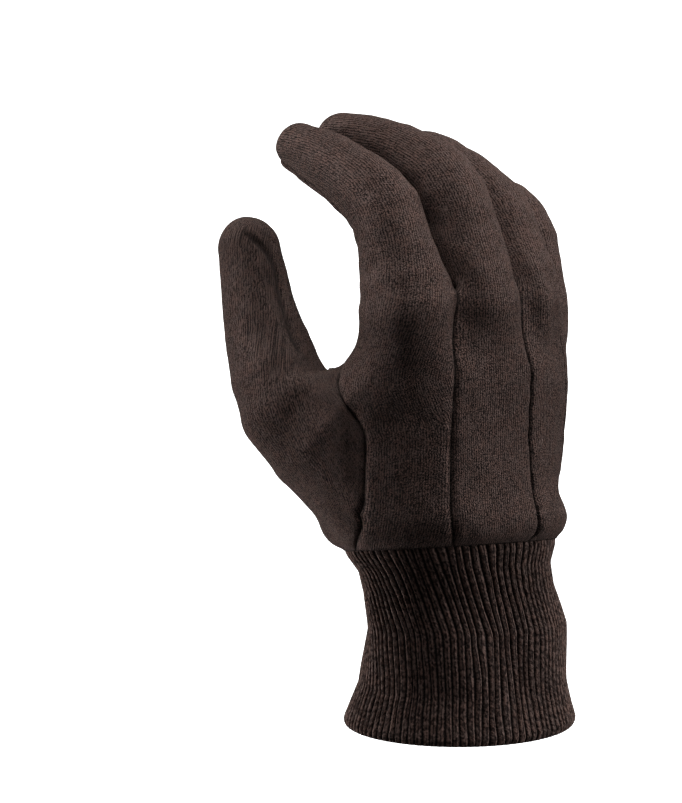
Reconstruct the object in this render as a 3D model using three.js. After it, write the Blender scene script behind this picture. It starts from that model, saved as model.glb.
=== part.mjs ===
import * as THREE from 'three';

// Right-hand knitted work glove with a ribbed wrist, worn shape with curled fingers.
// Millimetres. +Z runs from the wrist to the fingers, the back of the hand faces -Y,
// the thumb is on the -X side. The origin is the centre of the cuff's open mouth.

// Main sizes
const cuffLength = 57.5;
const cuffWidth = 70;
const cuffDepth = 48;
const palmLength = 77;
const handWidth = 90;
const handDepth = 40;
const wristDepth = 45;
const fingerLength = 88;
const fingerWidth = 31;
const thumbWidth = 38;

// Cloth, ribs and clearances
const jerseyWall = 1.8;
const cuffWall = 1.7;
const ribCount = 96;
const ribDepth = 0.7;
const seamGap = 0.3;
const fingerGap = 1.4;
const edgeBevel = 0.5;

// Softness of the hand's form: how far two round parts flow into each other
const palmBlend = 16;
const crotchBlend = 1.5;
const webBlend = 30;
const webInnerBlend = 10;
const thumbBlend = 5;
// Where the blends change along the fingers and the thumb: start and length of the change
const crotchStart = -22;
const crotchReach = 34;
const thumbStart = 15;
const thumbReach = 45;
const wristBulge = 1.5;
const bulgeReach = 7;
const wristRoll = 8;
const foldDepth = 2.4;

// Fingers. Knuckle and wrist ends are shares of hand width, hand depth and palm length,
// lengths are shares of finger length, widths are shares of finger width, angles in degrees.
const fingers = [
  {
    name: 'index', knuckleX: -0.256, knuckleY: -0.098, knuckleZ: 0.982, wristX: -0.16, wristY: 0.02,
    rootInner: 0.06, rootOuter: 0.06, length: 0.911, splay: 1.1, lean: 2.3,
    rootBend: 20.7, midBend: 63.7, tipBend: 75, joint: 0.4,
    rootWidth: 1.006, midWidth: 0.729, tipWidth: 0.523,
  },
  {
    name: 'middle', knuckleX: -0.001, knuckleY: -0.208, knuckleZ: 0.983, wristX: -0.05, wristY: -0.03,
    rootInner: 0.06, rootOuter: 0.05, length: 0.994, splay: 3.5, lean: -4.6,
    rootBend: 19.7, midBend: 66, tipBend: 82, joint: 0.42,
    rootWidth: 0.984, midWidth: 0.765, tipWidth: 0.576,
  },
  {
    name: 'ring', knuckleX: 0.223, knuckleY: -0.155, knuckleZ: 0.978, wristX: 0.07, wristY: -0.02,
    rootInner: 0.05, rootOuter: 0, length: 0.961, splay: 7.3, lean: -3,
    rootBend: 25.5, midBend: 63.8, tipBend: 84.7, joint: 0.37,
    rootWidth: 0.942, midWidth: 0.703, tipWidth: 0.555,
  },
  {
    name: 'little', knuckleX: 0.358, knuckleY: 0.005, knuckleZ: 0.831, wristX: 0.15, wristY: 0.02,
    rootInner: 0.1, rootOuter: 0.05, length: 0.856, splay: 13.5, lean: -4.5,
    rootBend: 18.7, midBend: 65, tipBend: 87, joint: 0.46,
    rootWidth: 0.761, midWidth: 0.703, tipWidth: 0.516,
  },
];

// Thumb, from inside the palm to its tip, in the same shares, widths as shares of thumb width.
const thumbRows = [
  { x: -0.215, y: 0.215, z: 0.25, width: 0.9 },
  { x: -0.476, y: 0.65, z: 0.54, width: 0.87 },
  { x: -0.486, y: 1.02, z: 0.864, width: 0.66 },
  { x: -0.474, y: 1.267, z: 1.205, width: 0.52 },
];

// The web of cloth between the thumb and the index finger, in the same shares
const webRows = [
  { x: -0.367, y: 0.08, z: 0.71, width: 0.42 },
  { x: -0.36, y: 0.42, z: 0.5, width: 0.38 },
];

// Folds and dents of the cloth: both ends in the same shares, width as a share of finger width,
// height as a share of fold depth, negative where the cloth sinks in.
const folds = [
  {
    name: 'below first gap', x: -0.15, y: -0.39, z: 1.08,
    endX: -0.182, endY: -0.489, endZ: 0.85, width: 0.16, height: -0.5,
  },
  {
    name: 'below second gap', x: 0.142, y: -0.47, z: 1.02,
    endX: 0.123, endY: -0.546, endZ: 0.85, width: 0.16, height: -0.5,
  },
  {
    name: 'ridge on the ring strip', x: 0.195, y: -0.44, z: 1.1,
    endX: 0.214, endY: -0.51, endZ: 0.92, width: 0.14, height: 0.5,
  },
  {
    name: 'beside the ridge', x: 0.25, y: -0.46, z: 1.07,
    endX: 0.276, endY: -0.478, endZ: 0.85, width: 0.16, height: -0.5,
  },
  {
    name: 'hollow by the web', x: -0.46, y: 0.13, z: 0.75,
    endX: -0.43, endY: 0.03, endZ: 0.85, width: 0.16, height: -0.6,
  },
  {
    name: 'dent in the index strip', x: -0.4, y: -0.3, z: 0.52,
    endX: -0.38, endY: -0.43, endZ: 0.2, width: 0.35, height: -0.7,
  },
  {
    name: 'hollow above the cuff by the thumb', x: -0.47, y: 0.35, z: 0.09,
    endX: -0.44, endY: 0.58, endZ: 0.13, width: 0.22, height: -1.2,
  },
  {
    name: 'dent on the side of the little finger', x: 0.33, y: -0.43, z: 0.21,
    endX: 0.42, endY: -0.15, endZ: 0.21, width: 0.2, height: -0.8,
  },
  {
    name: 'crease round the ball of the thumb', x: -0.28, y: 0.42, z: 0.78,
    endX: -0.02, endY: 0.5, endZ: 0.2, width: 0.2, height: -0.7,
  },
  {
    name: 'crease below the fingers', x: -0.1, y: 0.3, z: 0.85,
    endX: 0.3, endY: 0.4, endZ: 0.68, width: 0.2, height: -0.6,
  },
];

// Cuff rows from the mouth up: height as a share of cuff length, widths as shares of cuff
// width and depth, and the sideways shift of the row as shares of the same.
const cuffRows = [
  { height: 0, width: 1.205, depth: 1.205, shiftX: 0.011, shiftY: -0.013 },
  { height: 0.04, width: 1.207, depth: 1.207, shiftX: 0.015, shiftY: -0.018 },
  { height: 0.13, width: 1.15, depth: 1.15, shiftX: 0.018, shiftY: -0.022 },
  { height: 0.24, width: 1.086, depth: 1.086, shiftX: 0.024, shiftY: -0.031 },
  { height: 0.55, width: 1.035, depth: 1.035, shiftX: 0.031, shiftY: -0.04 },
  { height: 0.76, width: 0.985, depth: 0.985, shiftX: 0.008, shiftY: -0.01 },
  { height: 0.88, width: 0.995, depth: 0.995, shiftX: -0.004, shiftY: 0.004 },
  { height: 1, width: 1.1, depth: 1.1, shiftX: -0.018, shiftY: 0.024 },
];
// Twist of the ribs along the cuff, degrees from the mouth to the seam
const ribTwist = -14;
// Slope of the seam between cuff and hand, rise per millimetre
const seamSlopeX = -0.073;
const seamSlopeY = -0.16;
// Slope of the cuff's open mouth, rise per millimetre
const mouthSlopeX = -0.064;
const mouthSlopeY = 0.06;

// Helpers
const radians = Math.PI / 180;
const clamp01 = (value) => Math.min(1, Math.max(0, value));
const ease = (value) => {
  const t = clamp01(value);
  return t * t * (3 - 2 * t);
};
const mix = (a, b, t) => a + (b - a) * t;
const softMin = (a, b, size) => {
  const h = Math.max(size - Math.abs(a - b), 0) / size;
  return Math.min(a, b) - h * h * size * 0.25;
};
const softMax = (a, b, size) => -softMin(-a, -b, size);
const add = (a, b, scale = 1) => [a[0] + b[0] * scale, a[1] + b[1] * scale, a[2] + b[2] * scale];
const minus = (a, b) => add(a, b, -1);
const dot = (a, b) => a[0] * b[0] + a[1] * b[1] + a[2] * b[2];
const cross = (a, b) => [a[1] * b[2] - a[2] * b[1], a[2] * b[0] - a[0] * b[2], a[0] * b[1] - a[1] * b[0]];
const size = (a) => Math.sqrt(dot(a, a));
const unit = (a) => {
  const length = size(a) || 1;
  return [a[0] / length, a[1] / length, a[2] / length];
};
const mixPoint = (a, b, t) => [mix(a[0], b[0], t), mix(a[1], b[1], t), mix(a[2], b[2], t)];

// Reads a column of a table at a place between its rows
const readTable = (rows, key, value, column) => {
  let i = 0;
  while (i < rows.length - 2 && value > rows[i + 1][key]) i += 1;
  const a = rows[i];
  const b = rows[i + 1];
  return mix(a[column], b[column], clamp01((value - a[key]) / (b[key] - a[key])));
};

// Chains: lists of { point, radius, along }, where along is the distance from the knuckle
const fingerSteps = 10;
const handPoint = (x, y, z) => [x * handWidth, y * handDepth, cuffLength + z * palmLength];

function fingerChain(finger) {
  const knuckle = handPoint(finger.knuckleX, finger.knuckleY, finger.knuckleZ);
  const wrist = handPoint(finger.wristX, finger.wristY, 0.03);
  const rootRadius = finger.rootWidth * fingerWidth / 2;
  const length = finger.length * fingerLength;
  const back = size(minus(knuckle, wrist));
  const chain = [
    { point: wrist, radius: wristDepth / 2, along: -back },
    { point: mixPoint(wrist, knuckle, 0.5), radius: mix(rootRadius, wristDepth / 2, 0.35), along: -back / 2 },
    { point: knuckle, radius: rootRadius, along: 0 },
  ];
  const widths = [
    { place: 0, width: finger.rootWidth },
    { place: 0.28, width: finger.midWidth * 1.03 },
    { place: 0.6, width: finger.midWidth * 0.97 },
    { place: 1, width: finger.tipWidth },
  ];
  let point = knuckle;
  for (let i = 0; i < fingerSteps; i += 1) {
    const place = (i + 0.5) / fingerSteps;
    const bend = finger.rootBend * ease(place / 0.18 + 0.35)
      + (finger.midBend - finger.rootBend) * ease((place - finger.joint + 0.15) / 0.3)
      + (finger.tipBend - finger.midBend) * ease((place - 0.6) / 0.24);
    const flex = bend * radians;
    const splay = finger.splay * radians;
    const lean = finger.lean * radians;
    const step = unit([
      Math.sin(flex) * Math.sin(lean) + Math.cos(flex) * Math.sin(splay),
      Math.sin(flex) * Math.cos(lean),
      Math.cos(flex) * Math.cos(splay),
    ]);
    point = add(point, step, length / fingerSteps);
    const end = (i + 1) / fingerSteps;
    const radius = readTable(widths, 'place', end, 'width') * fingerWidth / 2;
    chain.push({ point, radius, along: end * length });
  }
  return chain;
}

const thumbSteps = 8;
function thumbChain() {
  const rows = thumbRows.map((row) => handPoint(row.x, row.y, row.z));
  const first = add(rows[0], minus(rows[0], rows[1]));
  const last = add(rows[3], minus(rows[3], rows[2]));
  const path = [first, ...rows, last];
  const chain = [];
  let along = 0;
  for (let i = 0; i <= thumbSteps; i += 1) {
    const place = i / thumbSteps * (rows.length - 1);
    const row = Math.min(Math.floor(place), rows.length - 2);
    const t = place - row;
    const [a, b, c, d] = path.slice(row, row + 4);
    const point = [0, 1, 2].map((k) => 0.5 * (2 * b[k] + (c[k] - a[k]) * t
      + (2 * a[k] - 5 * b[k] + 4 * c[k] - d[k]) * t * t
      + (3 * b[k] - a[k] - 3 * c[k] + d[k]) * t * t * t));
    if (i > 0) along += size(minus(point, chain[i - 1].point));
    const radius = mix(thumbRows[row].width, thumbRows[row + 1].width, t) * thumbWidth / 2;
    chain.push({ point, radius, along });
  }
  return chain;
}

const fingerChains = fingers.map(fingerChain);
const thumb = thumbChain();
const foldTubes = folds.map((fold) => ({
  path: [
    { point: handPoint(fold.x, fold.y, fold.z), radius: 0, along: 0 },
    { point: handPoint(fold.endX, fold.endY, fold.endZ), radius: 0, along: 1 },
  ],
  width: fold.width * fingerWidth,
  height: fold.height * foldDepth,
}));
const web = webRows.map((row, i) => ({
  point: handPoint(row.x, row.y, row.z), radius: row.width * thumbWidth / 2, along: i,
}));

// Distance from a point to the skin of one chain, and how far along the chain it is
function tube(point, chain) {
  let distance = Infinity;
  let along = 0;
  for (let i = 0; i < chain.length - 1; i += 1) {
    const a = chain[i];
    const b = chain[i + 1];
    const axis = minus(b.point, a.point);
    const from = minus(point, a.point);
    const t = clamp01(dot(from, axis) / dot(axis, axis));
    const gap = size(add(from, axis, -t)) - mix(a.radius, b.radius, t);
    if (gap < distance) {
      distance = gap;
      along = mix(a.along, b.along, t);
    }
  }
  return [distance, along];
}

// Height of the seam between cuff and hand
const seamHeight = (x, y) => cuffLength + seamSlopeX * x + seamSlopeY * y;

// The skin of the palm and fingers: negative inside, zero on the cloth's outer face
function palmSkin(point) {
  let distance = 0;
  let along = 0;
  fingerChains.forEach((chain, i) => {
    const [d, s] = tube(point, chain);
    if (i === 0) {
      distance = d;
      along = s;
      return;
    }
    const apart = ease((0.5 * (along + s) - crotchStart) / crotchReach);
    if (d < distance) along = s;
    distance = softMin(distance, d, mix(palmBlend, crotchBlend, apart));
  });
  foldTubes.forEach((fold) => {
    const away = tube(point, fold.path)[0] / fold.width;
    distance -= fold.height * Math.exp(-(away ** 2));
  });
  const height = point[2] - seamHeight(point[0], point[1]);
  return distance - wristBulge * Math.exp(-((height / bulgeReach - 1) ** 2));
}

// The skin of the whole hand
function skin(point) {
  const [thumbDistance, thumbAlong] = tube(point, thumb);
  const apart = ease((thumbAlong - thumbStart) / thumbReach);
  const distance = softMin(palmSkin(point), tube(point, web)[0], webInnerBlend);
  return softMin(distance, thumbDistance, mix(webBlend, thumbBlend, apart));
}

// The skin of one finger above the finger roots, kept clear of its neighbours
function fingerSkin(point, index, clear) {
  let distance = skin(point);
  const own = tube(point, fingerChains[index])[0];
  [index - 1, index + 1].forEach((other) => {
    if (other < 0 || other > 3) return;
    const beside = tube(point, fingerChains[other])[0];
    distance = softMax(distance, (own - beside) / 2 + clear, 3);
  });
  return distance;
}

// First place where a ray from inside meets a skin
function cast(from, direction, surface, reach) {
  const step = 1.5;
  let near = 0;
  let far = step;
  while (far < reach && surface(add(from, direction, far)) < 0) {
    near = far;
    far += step;
  }
  for (let i = 0; i < 18; i += 1) {
    const middle = (near + far) / 2;
    if (surface(add(from, direction, middle)) < 0) near = middle;
    else far = middle;
  }
  return add(from, direction, far);
}

// Moves a point onto a skin along its slope
function settle(point, surface) {
  let result = point;
  for (let i = 0; i < 4; i += 1) {
    const value = surface(result);
    const slope = [0, 1, 2].map((k) => {
      const moved = result.slice();
      moved[k] += 0.2;
      return (surface(moved) - value) / 0.2;
    });
    result = add(result, slope, -value / Math.max(dot(slope, slope), 0.3));
  }
  return result;
}

// Place and directions on a chain at a distance along it
function chainPlace(chain, along) {
  let i = 0;
  while (i < chain.length - 2 && along > chain[i + 1].along) i += 1;
  const a = chain[i];
  const b = chain[i + 1];
  const t = (along - a.along) / (b.along - a.along);
  const before = chain[Math.max(i - 1, 0)];
  const after = chain[Math.min(i + 2, chain.length - 1)];
  const here = unit(minus(b.point, a.point));
  const other = t < 0.5 ? unit(minus(a.point, before.point)) : unit(minus(after.point, b.point));
  const share = t < 0.5 ? 0.5 - t : t - 0.5;
  const usable = size(minus(other, here)) < 1 && size(other) > 0;
  const forward = usable ? unit(mixPoint(here, other, share)) : here;
  return { point: mixPoint(a.point, b.point, t), forward };
}

// Base surface: one sheet of four-sided faces whose edges follow the seams
const points = [];
const faces = [];
const addPoint = (point) => points.push(point) - 1;
const addFace = (corners, piece) => faces.push({ corners, piece });

const sideSteps = 4;
const fingerSides = 4 * sideSteps;
const columns = 10 * sideSteps;
const cornerAngle = 40;

// Angle of each place round a finger: back, outer side, front, inner side
function ringAngle(j) {
  const quarter = Math.floor(j / sideSteps);
  const t = (j % sideSteps) / sideSteps;
  const starts = [180 - cornerAngle, cornerAngle, -cornerAngle, -180 + cornerAngle, -180 - cornerAngle];
  return mix(starts[quarter], starts[quarter + 1], t) * radians;
}

function fingerFrame(index, along) {
  const { point, forward } = chainPlace(fingerChains[index], along);
  const splay = fingers[index].splay * radians;
  const lean = fingers[index].lean * radians;
  const sideways = [Math.cos(lean), -Math.sin(lean), -Math.sin(splay)];
  const front = unit(cross(forward, sideways));
  return { point, forward, front, side: cross(front, forward) };
}

// Where a finger starts, on its inner and outer sides
function rootAlong(index, angle) {
  const { rootInner, rootOuter } = fingers[index];
  return mix(rootInner, rootOuter, (Math.cos(angle) + 1) / 2) * fingerLength;
}

function fingerPoint(index, along, angle, tilt, clear) {
  const frame = fingerFrame(index, along);
  const round = add([0, 0, 0], frame.side, Math.cos(angle));
  const radial = add(round, frame.front, -Math.sin(angle));
  const direction = unit(add(add([0, 0, 0], radial, Math.cos(tilt)), frame.forward, Math.sin(tilt)));
  return cast(frame.point, direction, (p) => fingerSkin(p, index, clear), 30);
}

// Finger roots: the ring where the palm ends and the four fingers start
const rootRings = fingers.map((finger, index) => {
  const ring = [];
  for (let j = 0; j < fingerSides; j += 1) {
    const angle = ringAngle(j);
    ring.push(fingerPoint(index, rootAlong(index, angle), angle, 0, 0));
  }
  return ring;
});
const topRing = [];
const crotches = [];
for (let i = 0; i < 4; i += 1) {
  for (let j = 0; j < sideSteps; j += 1) topRing[i * sideSteps + j] = rootRings[i][j];
  for (let j = 0; j < sideSteps; j += 1) {
    topRing[(5 + 3 - i) * sideSteps + j] = rootRings[i][2 * sideSteps + j];
  }
}
for (let j = 0; j < sideSteps; j += 1) {
  topRing[4 * sideSteps + j] = rootRings[3][sideSteps + j];
  topRing[9 * sideSteps + j] = rootRings[0][3 * sideSteps + j];
}
// The bottom of the gap between two fingers: a straight line from the back to the front
for (let i = 0; i < 3; i += 1) {
  const back = mixPoint(rootRings[i][sideSteps], rootRings[i + 1][0], 0.5);
  const front = mixPoint(rootRings[i][2 * sideSteps], rootRings[i + 1][3 * sideSteps], 0.5);
  const middle = mixPoint(back, front, 0.5);
  const direction = unit(minus(front, back));
  const backEnd = cast(middle, direction.map((part) => -part), skin, 30);
  const frontEnd = cast(middle, direction, skin, 30);
  topRing[(i + 1) * sideSteps] = backEnd;
  topRing[(5 + 3 - i) * sideSteps] = frontEnd;
  const path = [];
  for (let j = 1; j < sideSteps; j += 1) path.push(mixPoint(backEnd, frontEnd, j / sideSteps));
  crotches.push(path);
}

// Palm rows from the seam at the cuff up to the finger roots, as shares of the way up
const palmRows = [0, 0.035, 0.08, 0.13, 0.2, 0.29, 0.38, 0.47, 0.56, 0.66, 0.77, 0.88, 1];
const webRowIndex = 9;
const thumbLowRowIndex = 3;
const thumbFrontColumnCount = 2;
// Direction of each seam and of the lines between them, degrees round the hand, at four heights
const lineHeights = [
  { height: 0, name: 'cuff' },
  { height: 0.12, name: 'heel' },
  { height: 0.47, name: 'middle' },
  { height: 0.66, name: 'web' },
];
const lineRows = [
  { line: 0, cuff: 183, heel: 172, middle: 174, web: 195 },
  { line: 1, cuff: 131, heel: 135, middle: 137, web: 135 },
  { line: 2, cuff: 70, heel: 71, middle: 68, web: 66 },
  { line: 3, cuff: 28, heel: 28, middle: 26, web: 24 },
  { line: 4, cuff: 2, heel: 2, middle: 2, web: 2 },
  { line: 5, cuff: -26, heel: -26, middle: -25, web: -24 },
  { line: 6, cuff: -52, heel: -52, middle: -51, web: -50 },
  { line: 7, cuff: -80, heel: -80, middle: -80, web: -80 },
  { line: 8, cuff: -106, heel: -106, middle: -107, web: -108 },
  { line: 9, cuff: -134, heel: -136, middle: -137, web: -138 },
  { line: 10, cuff: -177, heel: -188, middle: -186, web: -165 },
];
function lineAngle(line, height) {
  let i = 0;
  while (i < lineHeights.length - 2 && height > lineHeights[i + 1].height) i += 1;
  const low = lineHeights[i];
  const high = lineHeights[i + 1];
  const share = clamp01((height - low.height) / (high.height - low.height));
  const from = readTable(lineRows, 'line', line, low.name);
  const to = readTable(lineRows, 'line', line, high.name);
  return mix(from, to, share) * radians;
}
const palmCentre = (share) => [mix(-1, 2, share), mix(0, -2, share)];
const angleOf = (point, centre) => Math.atan2(centre[1] - point[1], point[0] - centre[0]);
const cuffShift = cuffRows[cuffRows.length - 1];
const seamCentre = [cuffShift.shiftX * cuffWidth, cuffShift.shiftY * cuffDepth];

const palm = palmRows.map(() => []);
for (let c = 0; c < columns; c += 1) {
  const place = c / sideSteps;
  const cuffAngle = lineAngle(place, 0);
  const webHeight = palmRows[webRowIndex];
  const webAngle = lineAngle(place, webHeight);
  const topCentre = palmCentre(1);
  let topAngle = angleOf(topRing[c], topCentre);
  while (topAngle - webAngle > Math.PI) topAngle -= 2 * Math.PI;
  while (topAngle - webAngle < -Math.PI) topAngle += 2 * Math.PI;
  const seamReach = 1 / Math.hypot(
    Math.cos(cuffAngle) / (cuffShift.width * cuffWidth / 2),
    Math.sin(cuffAngle) / (cuffShift.depth * cuffDepth / 2),
  );
  const edge = [
    seamCentre[0] + seamReach * Math.cos(cuffAngle),
    seamCentre[1] - seamReach * Math.sin(cuffAngle),
  ];
  palmRows.forEach((share, r) => {
    if (r === palmRows.length - 1) {
      palm[r][c] = addPoint(topRing[c]);
      return;
    }
    const angle = share < webHeight
      ? lineAngle(place, share)
      : mix(webAngle, topAngle, ease((share - webHeight) / (1 - webHeight)));
    const centre = palmCentre(share);
    const height = mix(seamHeight(edge[0], edge[1]), topRing[c][2], share);
    const direction = [Math.cos(angle), -Math.sin(angle), 0];
    const beside = c > 6 * sideSteps && r >= thumbLowRowIndex;
    const full = cast([centre[0], centre[1], height], direction, beside ? palmSkin : skin, 62);
    const rise = clamp01(share * palmLength / wristRoll);
    palm[r][c] = addPoint(mixPoint([edge[0], edge[1], height], full, Math.sqrt(1 - (1 - rise) ** 2)));
  });
}
const palmAt = (r, c) => palm[r][(c + columns) % columns];

const pieceOfColumn = (r, c) => {
  if (c < 3 * sideSteps) return 1 + Math.floor(c / sideSteps);
  if (c < 5 * sideSteps) return 4;
  if (c < 9 * sideSteps) return 0;
  return r >= webRowIndex ? 1 : 0;
};
const thumbFirst = 9 * sideSteps - thumbFrontColumnCount;
for (let r = 0; r < palmRows.length - 1; r += 1) {
  for (let c = 0; c < columns; c += 1) {
    const open = c >= thumbFirst && r >= thumbLowRowIndex && r < webRowIndex;
    if (!open) {
      const corners = [palmAt(r, c), palmAt(r, c + 1), palmAt(r + 1, c + 1), palmAt(r + 1, c)];
      addFace(corners, pieceOfColumn(r, c));
    }
  }
}

// Fingers, ring by ring from the roots to the tips
const fingerRingCount = 10;
const crotchLip = 1;
const topRow = palmRows.length - 1;
const crotchPoints = crotches.map((path) => path.map(addPoint));
function rootPoint(index, j) {
  const place = j % fingerSides;
  const quarter = Math.floor(place / sideSteps);
  const t = place % sideSteps;
  if (quarter === 0) return palmAt(topRow, index * sideSteps + t);
  if (quarter === 1) {
    if (index === 3 || t === 0) return palmAt(topRow, (index + 1) * sideSteps + t);
    return crotchPoints[index][t - 1];
  }
  if (quarter === 2) return palmAt(topRow, (8 - index) * sideSteps + t);
  if (index === 0 || t === 0) return palmAt(topRow, (9 - index) * sideSteps + t);
  return crotchPoints[index - 1][sideSteps - 1 - t];
}
const inCrotch = (index, j) => {
  const quarter = j / sideSteps;
  if (index < 3 && quarter >= 1 && quarter <= 2) return true;
  return index > 0 && (quarter >= 3 || quarter === 0);
};
const fingerSheets = fingers.map((finger, index) => {
  const length = finger.length * fingerLength;
  const rings = [[]];
  for (let j = 0; j < fingerSides; j += 1) rings[0].push(rootPoint(index, j));
  const tilts = [0, 32, 62];
  for (let m = 1; m <= fingerRingCount + 2; m += 1) {
    const ring = [];
    for (let j = 0; j < fingerSides; j += 1) {
      const angle = ringAngle(j);
      const root = rootAlong(index, angle);
      const share = Math.min(m / fingerRingCount, 1);
      const tilt = tilts[Math.max(m - fingerRingCount, 0)] * radians;
      if (m === 1 && inCrotch(index, j)) {
        const { forward, side } = fingerFrame(index, root);
        const inwards = j >= sideSteps && j <= 2 * sideSteps ? -1 : 1;
        const raised = add(points[rings[0][j]], forward, crotchLip);
        ring.push(addPoint(add(raised, side, inwards * fingerGap / 2)));
      } else {
        ring.push(addPoint(fingerPoint(index, root + share * (length - root), angle, tilt, fingerGap / 2)));
      }
    }
    rings.push(ring);
  }
  for (let m = 0; m < rings.length - 1; m += 1) {
    for (let j = 0; j < fingerSides; j += 1) {
      const next = (j + 1) % fingerSides;
      const front = j >= 2 * sideSteps && j < 3 * sideSteps && m <= fingerRingCount;
      addFace([rings[m][j], rings[m][next], rings[m + 1][next], rings[m + 1][j]], front ? 0 : index + 1);
    }
  }
  const tip = addPoint(fingerPoint(index, length, 0, Math.PI / 2, fingerGap / 2));
  const last = rings[rings.length - 1];
  for (let j = 0; j < fingerSides; j += 1) addFace([last[j], last[(j + 1) % fingerSides], tip], index + 1);
  return rings;
});

// Thumb, from its opening in the side of the palm to its tip
const thumbRing = [];
for (let c = columns; c > thumbFirst; c -= 1) thumbRing.push(palmAt(webRowIndex, c));
for (let r = webRowIndex; r > thumbLowRowIndex; r -= 1) thumbRing.push(palmAt(r, thumbFirst));
for (let c = thumbFirst; c < columns; c += 1) thumbRing.push(palmAt(thumbLowRowIndex, c));
for (let r = thumbLowRowIndex; r < webRowIndex; r += 1) thumbRing.push(palmAt(r, 0));
const thumbSides = thumbRing.length;
const webSide = unit([0.55, -0.83, 0]);
function thumbFrame(along) {
  const { point, forward } = chainPlace(thumb, along);
  const up = unit(add(webSide, forward, -dot(webSide, forward)));
  return { point, forward, up, inner: cross(forward, up) };
}
const thumbLength = thumb[thumb.length - 1].along;
const thumbRingPlaces = [0.36, 0.45, 0.54, 0.63, 0.72, 0.8, 0.87, 0.94, 1];
const firstFrame = thumbFrame(thumbRingPlaces[0] * thumbLength);
const startAngles = [];
thumbRing.forEach((id, j) => {
  const from = minus(points[id], firstFrame.point);
  let angle = Math.atan2(dot(from, firstFrame.inner), dot(from, firstFrame.up));
  if (j > 0) {
    while (angle < startAngles[j - 1]) angle += 2 * Math.PI;
    while (angle - startAngles[j - 1] > Math.PI) angle -= 2 * Math.PI;
  }
  startAngles.push(angle);
});
const thumbStep = 2 * Math.PI / thumbSides;
const evenStart = startAngles.reduce((sum, angle, j) => sum + angle - j * thumbStep, 0) / thumbSides;
const thumbRings = [thumbRing];
const thumbTilts = [0, 32, 62];
for (let k = 1; k <= thumbRingPlaces.length + 2; k += 1) {
  const along = thumbRingPlaces[Math.min(k, thumbRingPlaces.length) - 1] * thumbLength;
  const tilt = thumbTilts[Math.max(k - thumbRingPlaces.length, 0)] * radians;
  const frame = thumbFrame(along);
  const ring = [];
  for (let j = 0; j < thumbSides; j += 1) {
    const even = evenStart + j * thumbStep;
    const angle = mix(startAngles[j], even, ease(k / 4));
    const round = add(add([0, 0, 0], frame.up, Math.cos(angle)), frame.inner, Math.sin(angle));
    const direction = add(add([0, 0, 0], round, Math.cos(tilt)), frame.forward, Math.sin(tilt));
    ring.push(addPoint(cast(frame.point, direction, skin, 26)));
  }
  thumbRings.push(ring);
}
for (let k = 0; k < thumbRings.length - 1; k += 1) {
  for (let j = 0; j < thumbSides; j += 1) {
    const next = (j + 1) % thumbSides;
    addFace([thumbRings[k][j], thumbRings[k][next], thumbRings[k + 1][next], thumbRings[k + 1][j]], 0);
  }
}
const thumbEnd = thumbFrame(thumbLength);
const thumbTip = addPoint(cast(thumbEnd.point, thumbEnd.forward, skin, 26));
const lastThumb = thumbRings[thumbRings.length - 1];
for (let j = 0; j < thumbSides; j += 1) addFace([lastThumb[j], lastThumb[(j + 1) % thumbSides], thumbTip], 0);

// Evens out the cloth round the thumb's root and the knuckles, keeping it on the skin
const neighbours = points.map(() => new Set());
faces.forEach(({ corners }) => {
  corners.forEach((corner, i) => {
    const next = corners[(i + 1) % corners.length];
    neighbours[corner].add(next);
    neighbours[next].add(corner);
  });
});
const loose = new Map();
thumbRings.slice(1, 6).forEach((ring) => ring.forEach((id) => loose.set(id, skin)));
for (let r = thumbLowRowIndex; r <= topRow; r += 1) {
  for (let c = 0; c < columns; c += 1) {
    const held = r === topRow && c % sideSteps === 0 && ![0, 4, 5, 9].includes(c / sideSteps);
    if (!held && (r > webRowIndex || c > 6 * sideSteps)) loose.set(palmAt(r, c), skin);
  }
}
fingerSheets.forEach((rings, index) => {
  rings.slice(1, 4).forEach((ring, m) => ring.forEach((id, j) => {
    if (m > 0 || !inCrotch(index, j)) loose.set(id, (p) => fingerSkin(p, index, fingerGap / 2));
  }));
});
for (let round = 0; round < 24; round += 1) {
  const moved = new Map();
  loose.forEach((surface, id) => {
    const around = [...neighbours[id]];
    let centre = [0, 0, 0];
    around.forEach((other) => {
      centre = add(centre, points[other], 1 / around.length);
    });
    moved.set(id, mixPoint(points[id], centre, 0.5));
  });
  moved.forEach((point, id) => {
    points[id] = settle(point, loose.get(id));
  });
}

// Outward direction at every point of the sheet
const outward = points.map(() => [0, 0, 0]);
const faceDirection = ({ corners }) => {
  const [a, b, c] = corners.map((id) => points[id]);
  const d = corners.length === 4 ? points[corners[3]] : b;
  return corners.length === 4 ? cross(minus(c, a), minus(d, b)) : cross(minus(b, a), minus(c, a));
};
faces.forEach((face) => {
  const direction = faceDirection(face);
  face.direction = unit(direction);
  face.corners.forEach((id) => {
    outward[id] = add(outward[id], direction);
  });
});
outward.forEach((direction, id) => {
  outward[id] = unit(direction);
});
// At the cuff the cloth's edge lies in the plane of the seam
const seamUp = unit([-seamSlopeX, -seamSlopeY, 1]);
palm[0].forEach((id) => {
  outward[id] = unit(add(outward[id], seamUp, -dot(outward[id], seamUp)));
});

// Makes a closed geometry from a list of points and three-sided faces
function geometryOf(list, triangles) {
  const geometry = new THREE.BufferGeometry();
  geometry.setAttribute('position', new THREE.Float32BufferAttribute(list.flat(), 3));
  geometry.setIndex(triangles.flat());
  geometry.computeVertexNormals();
  return geometry;
}

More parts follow.
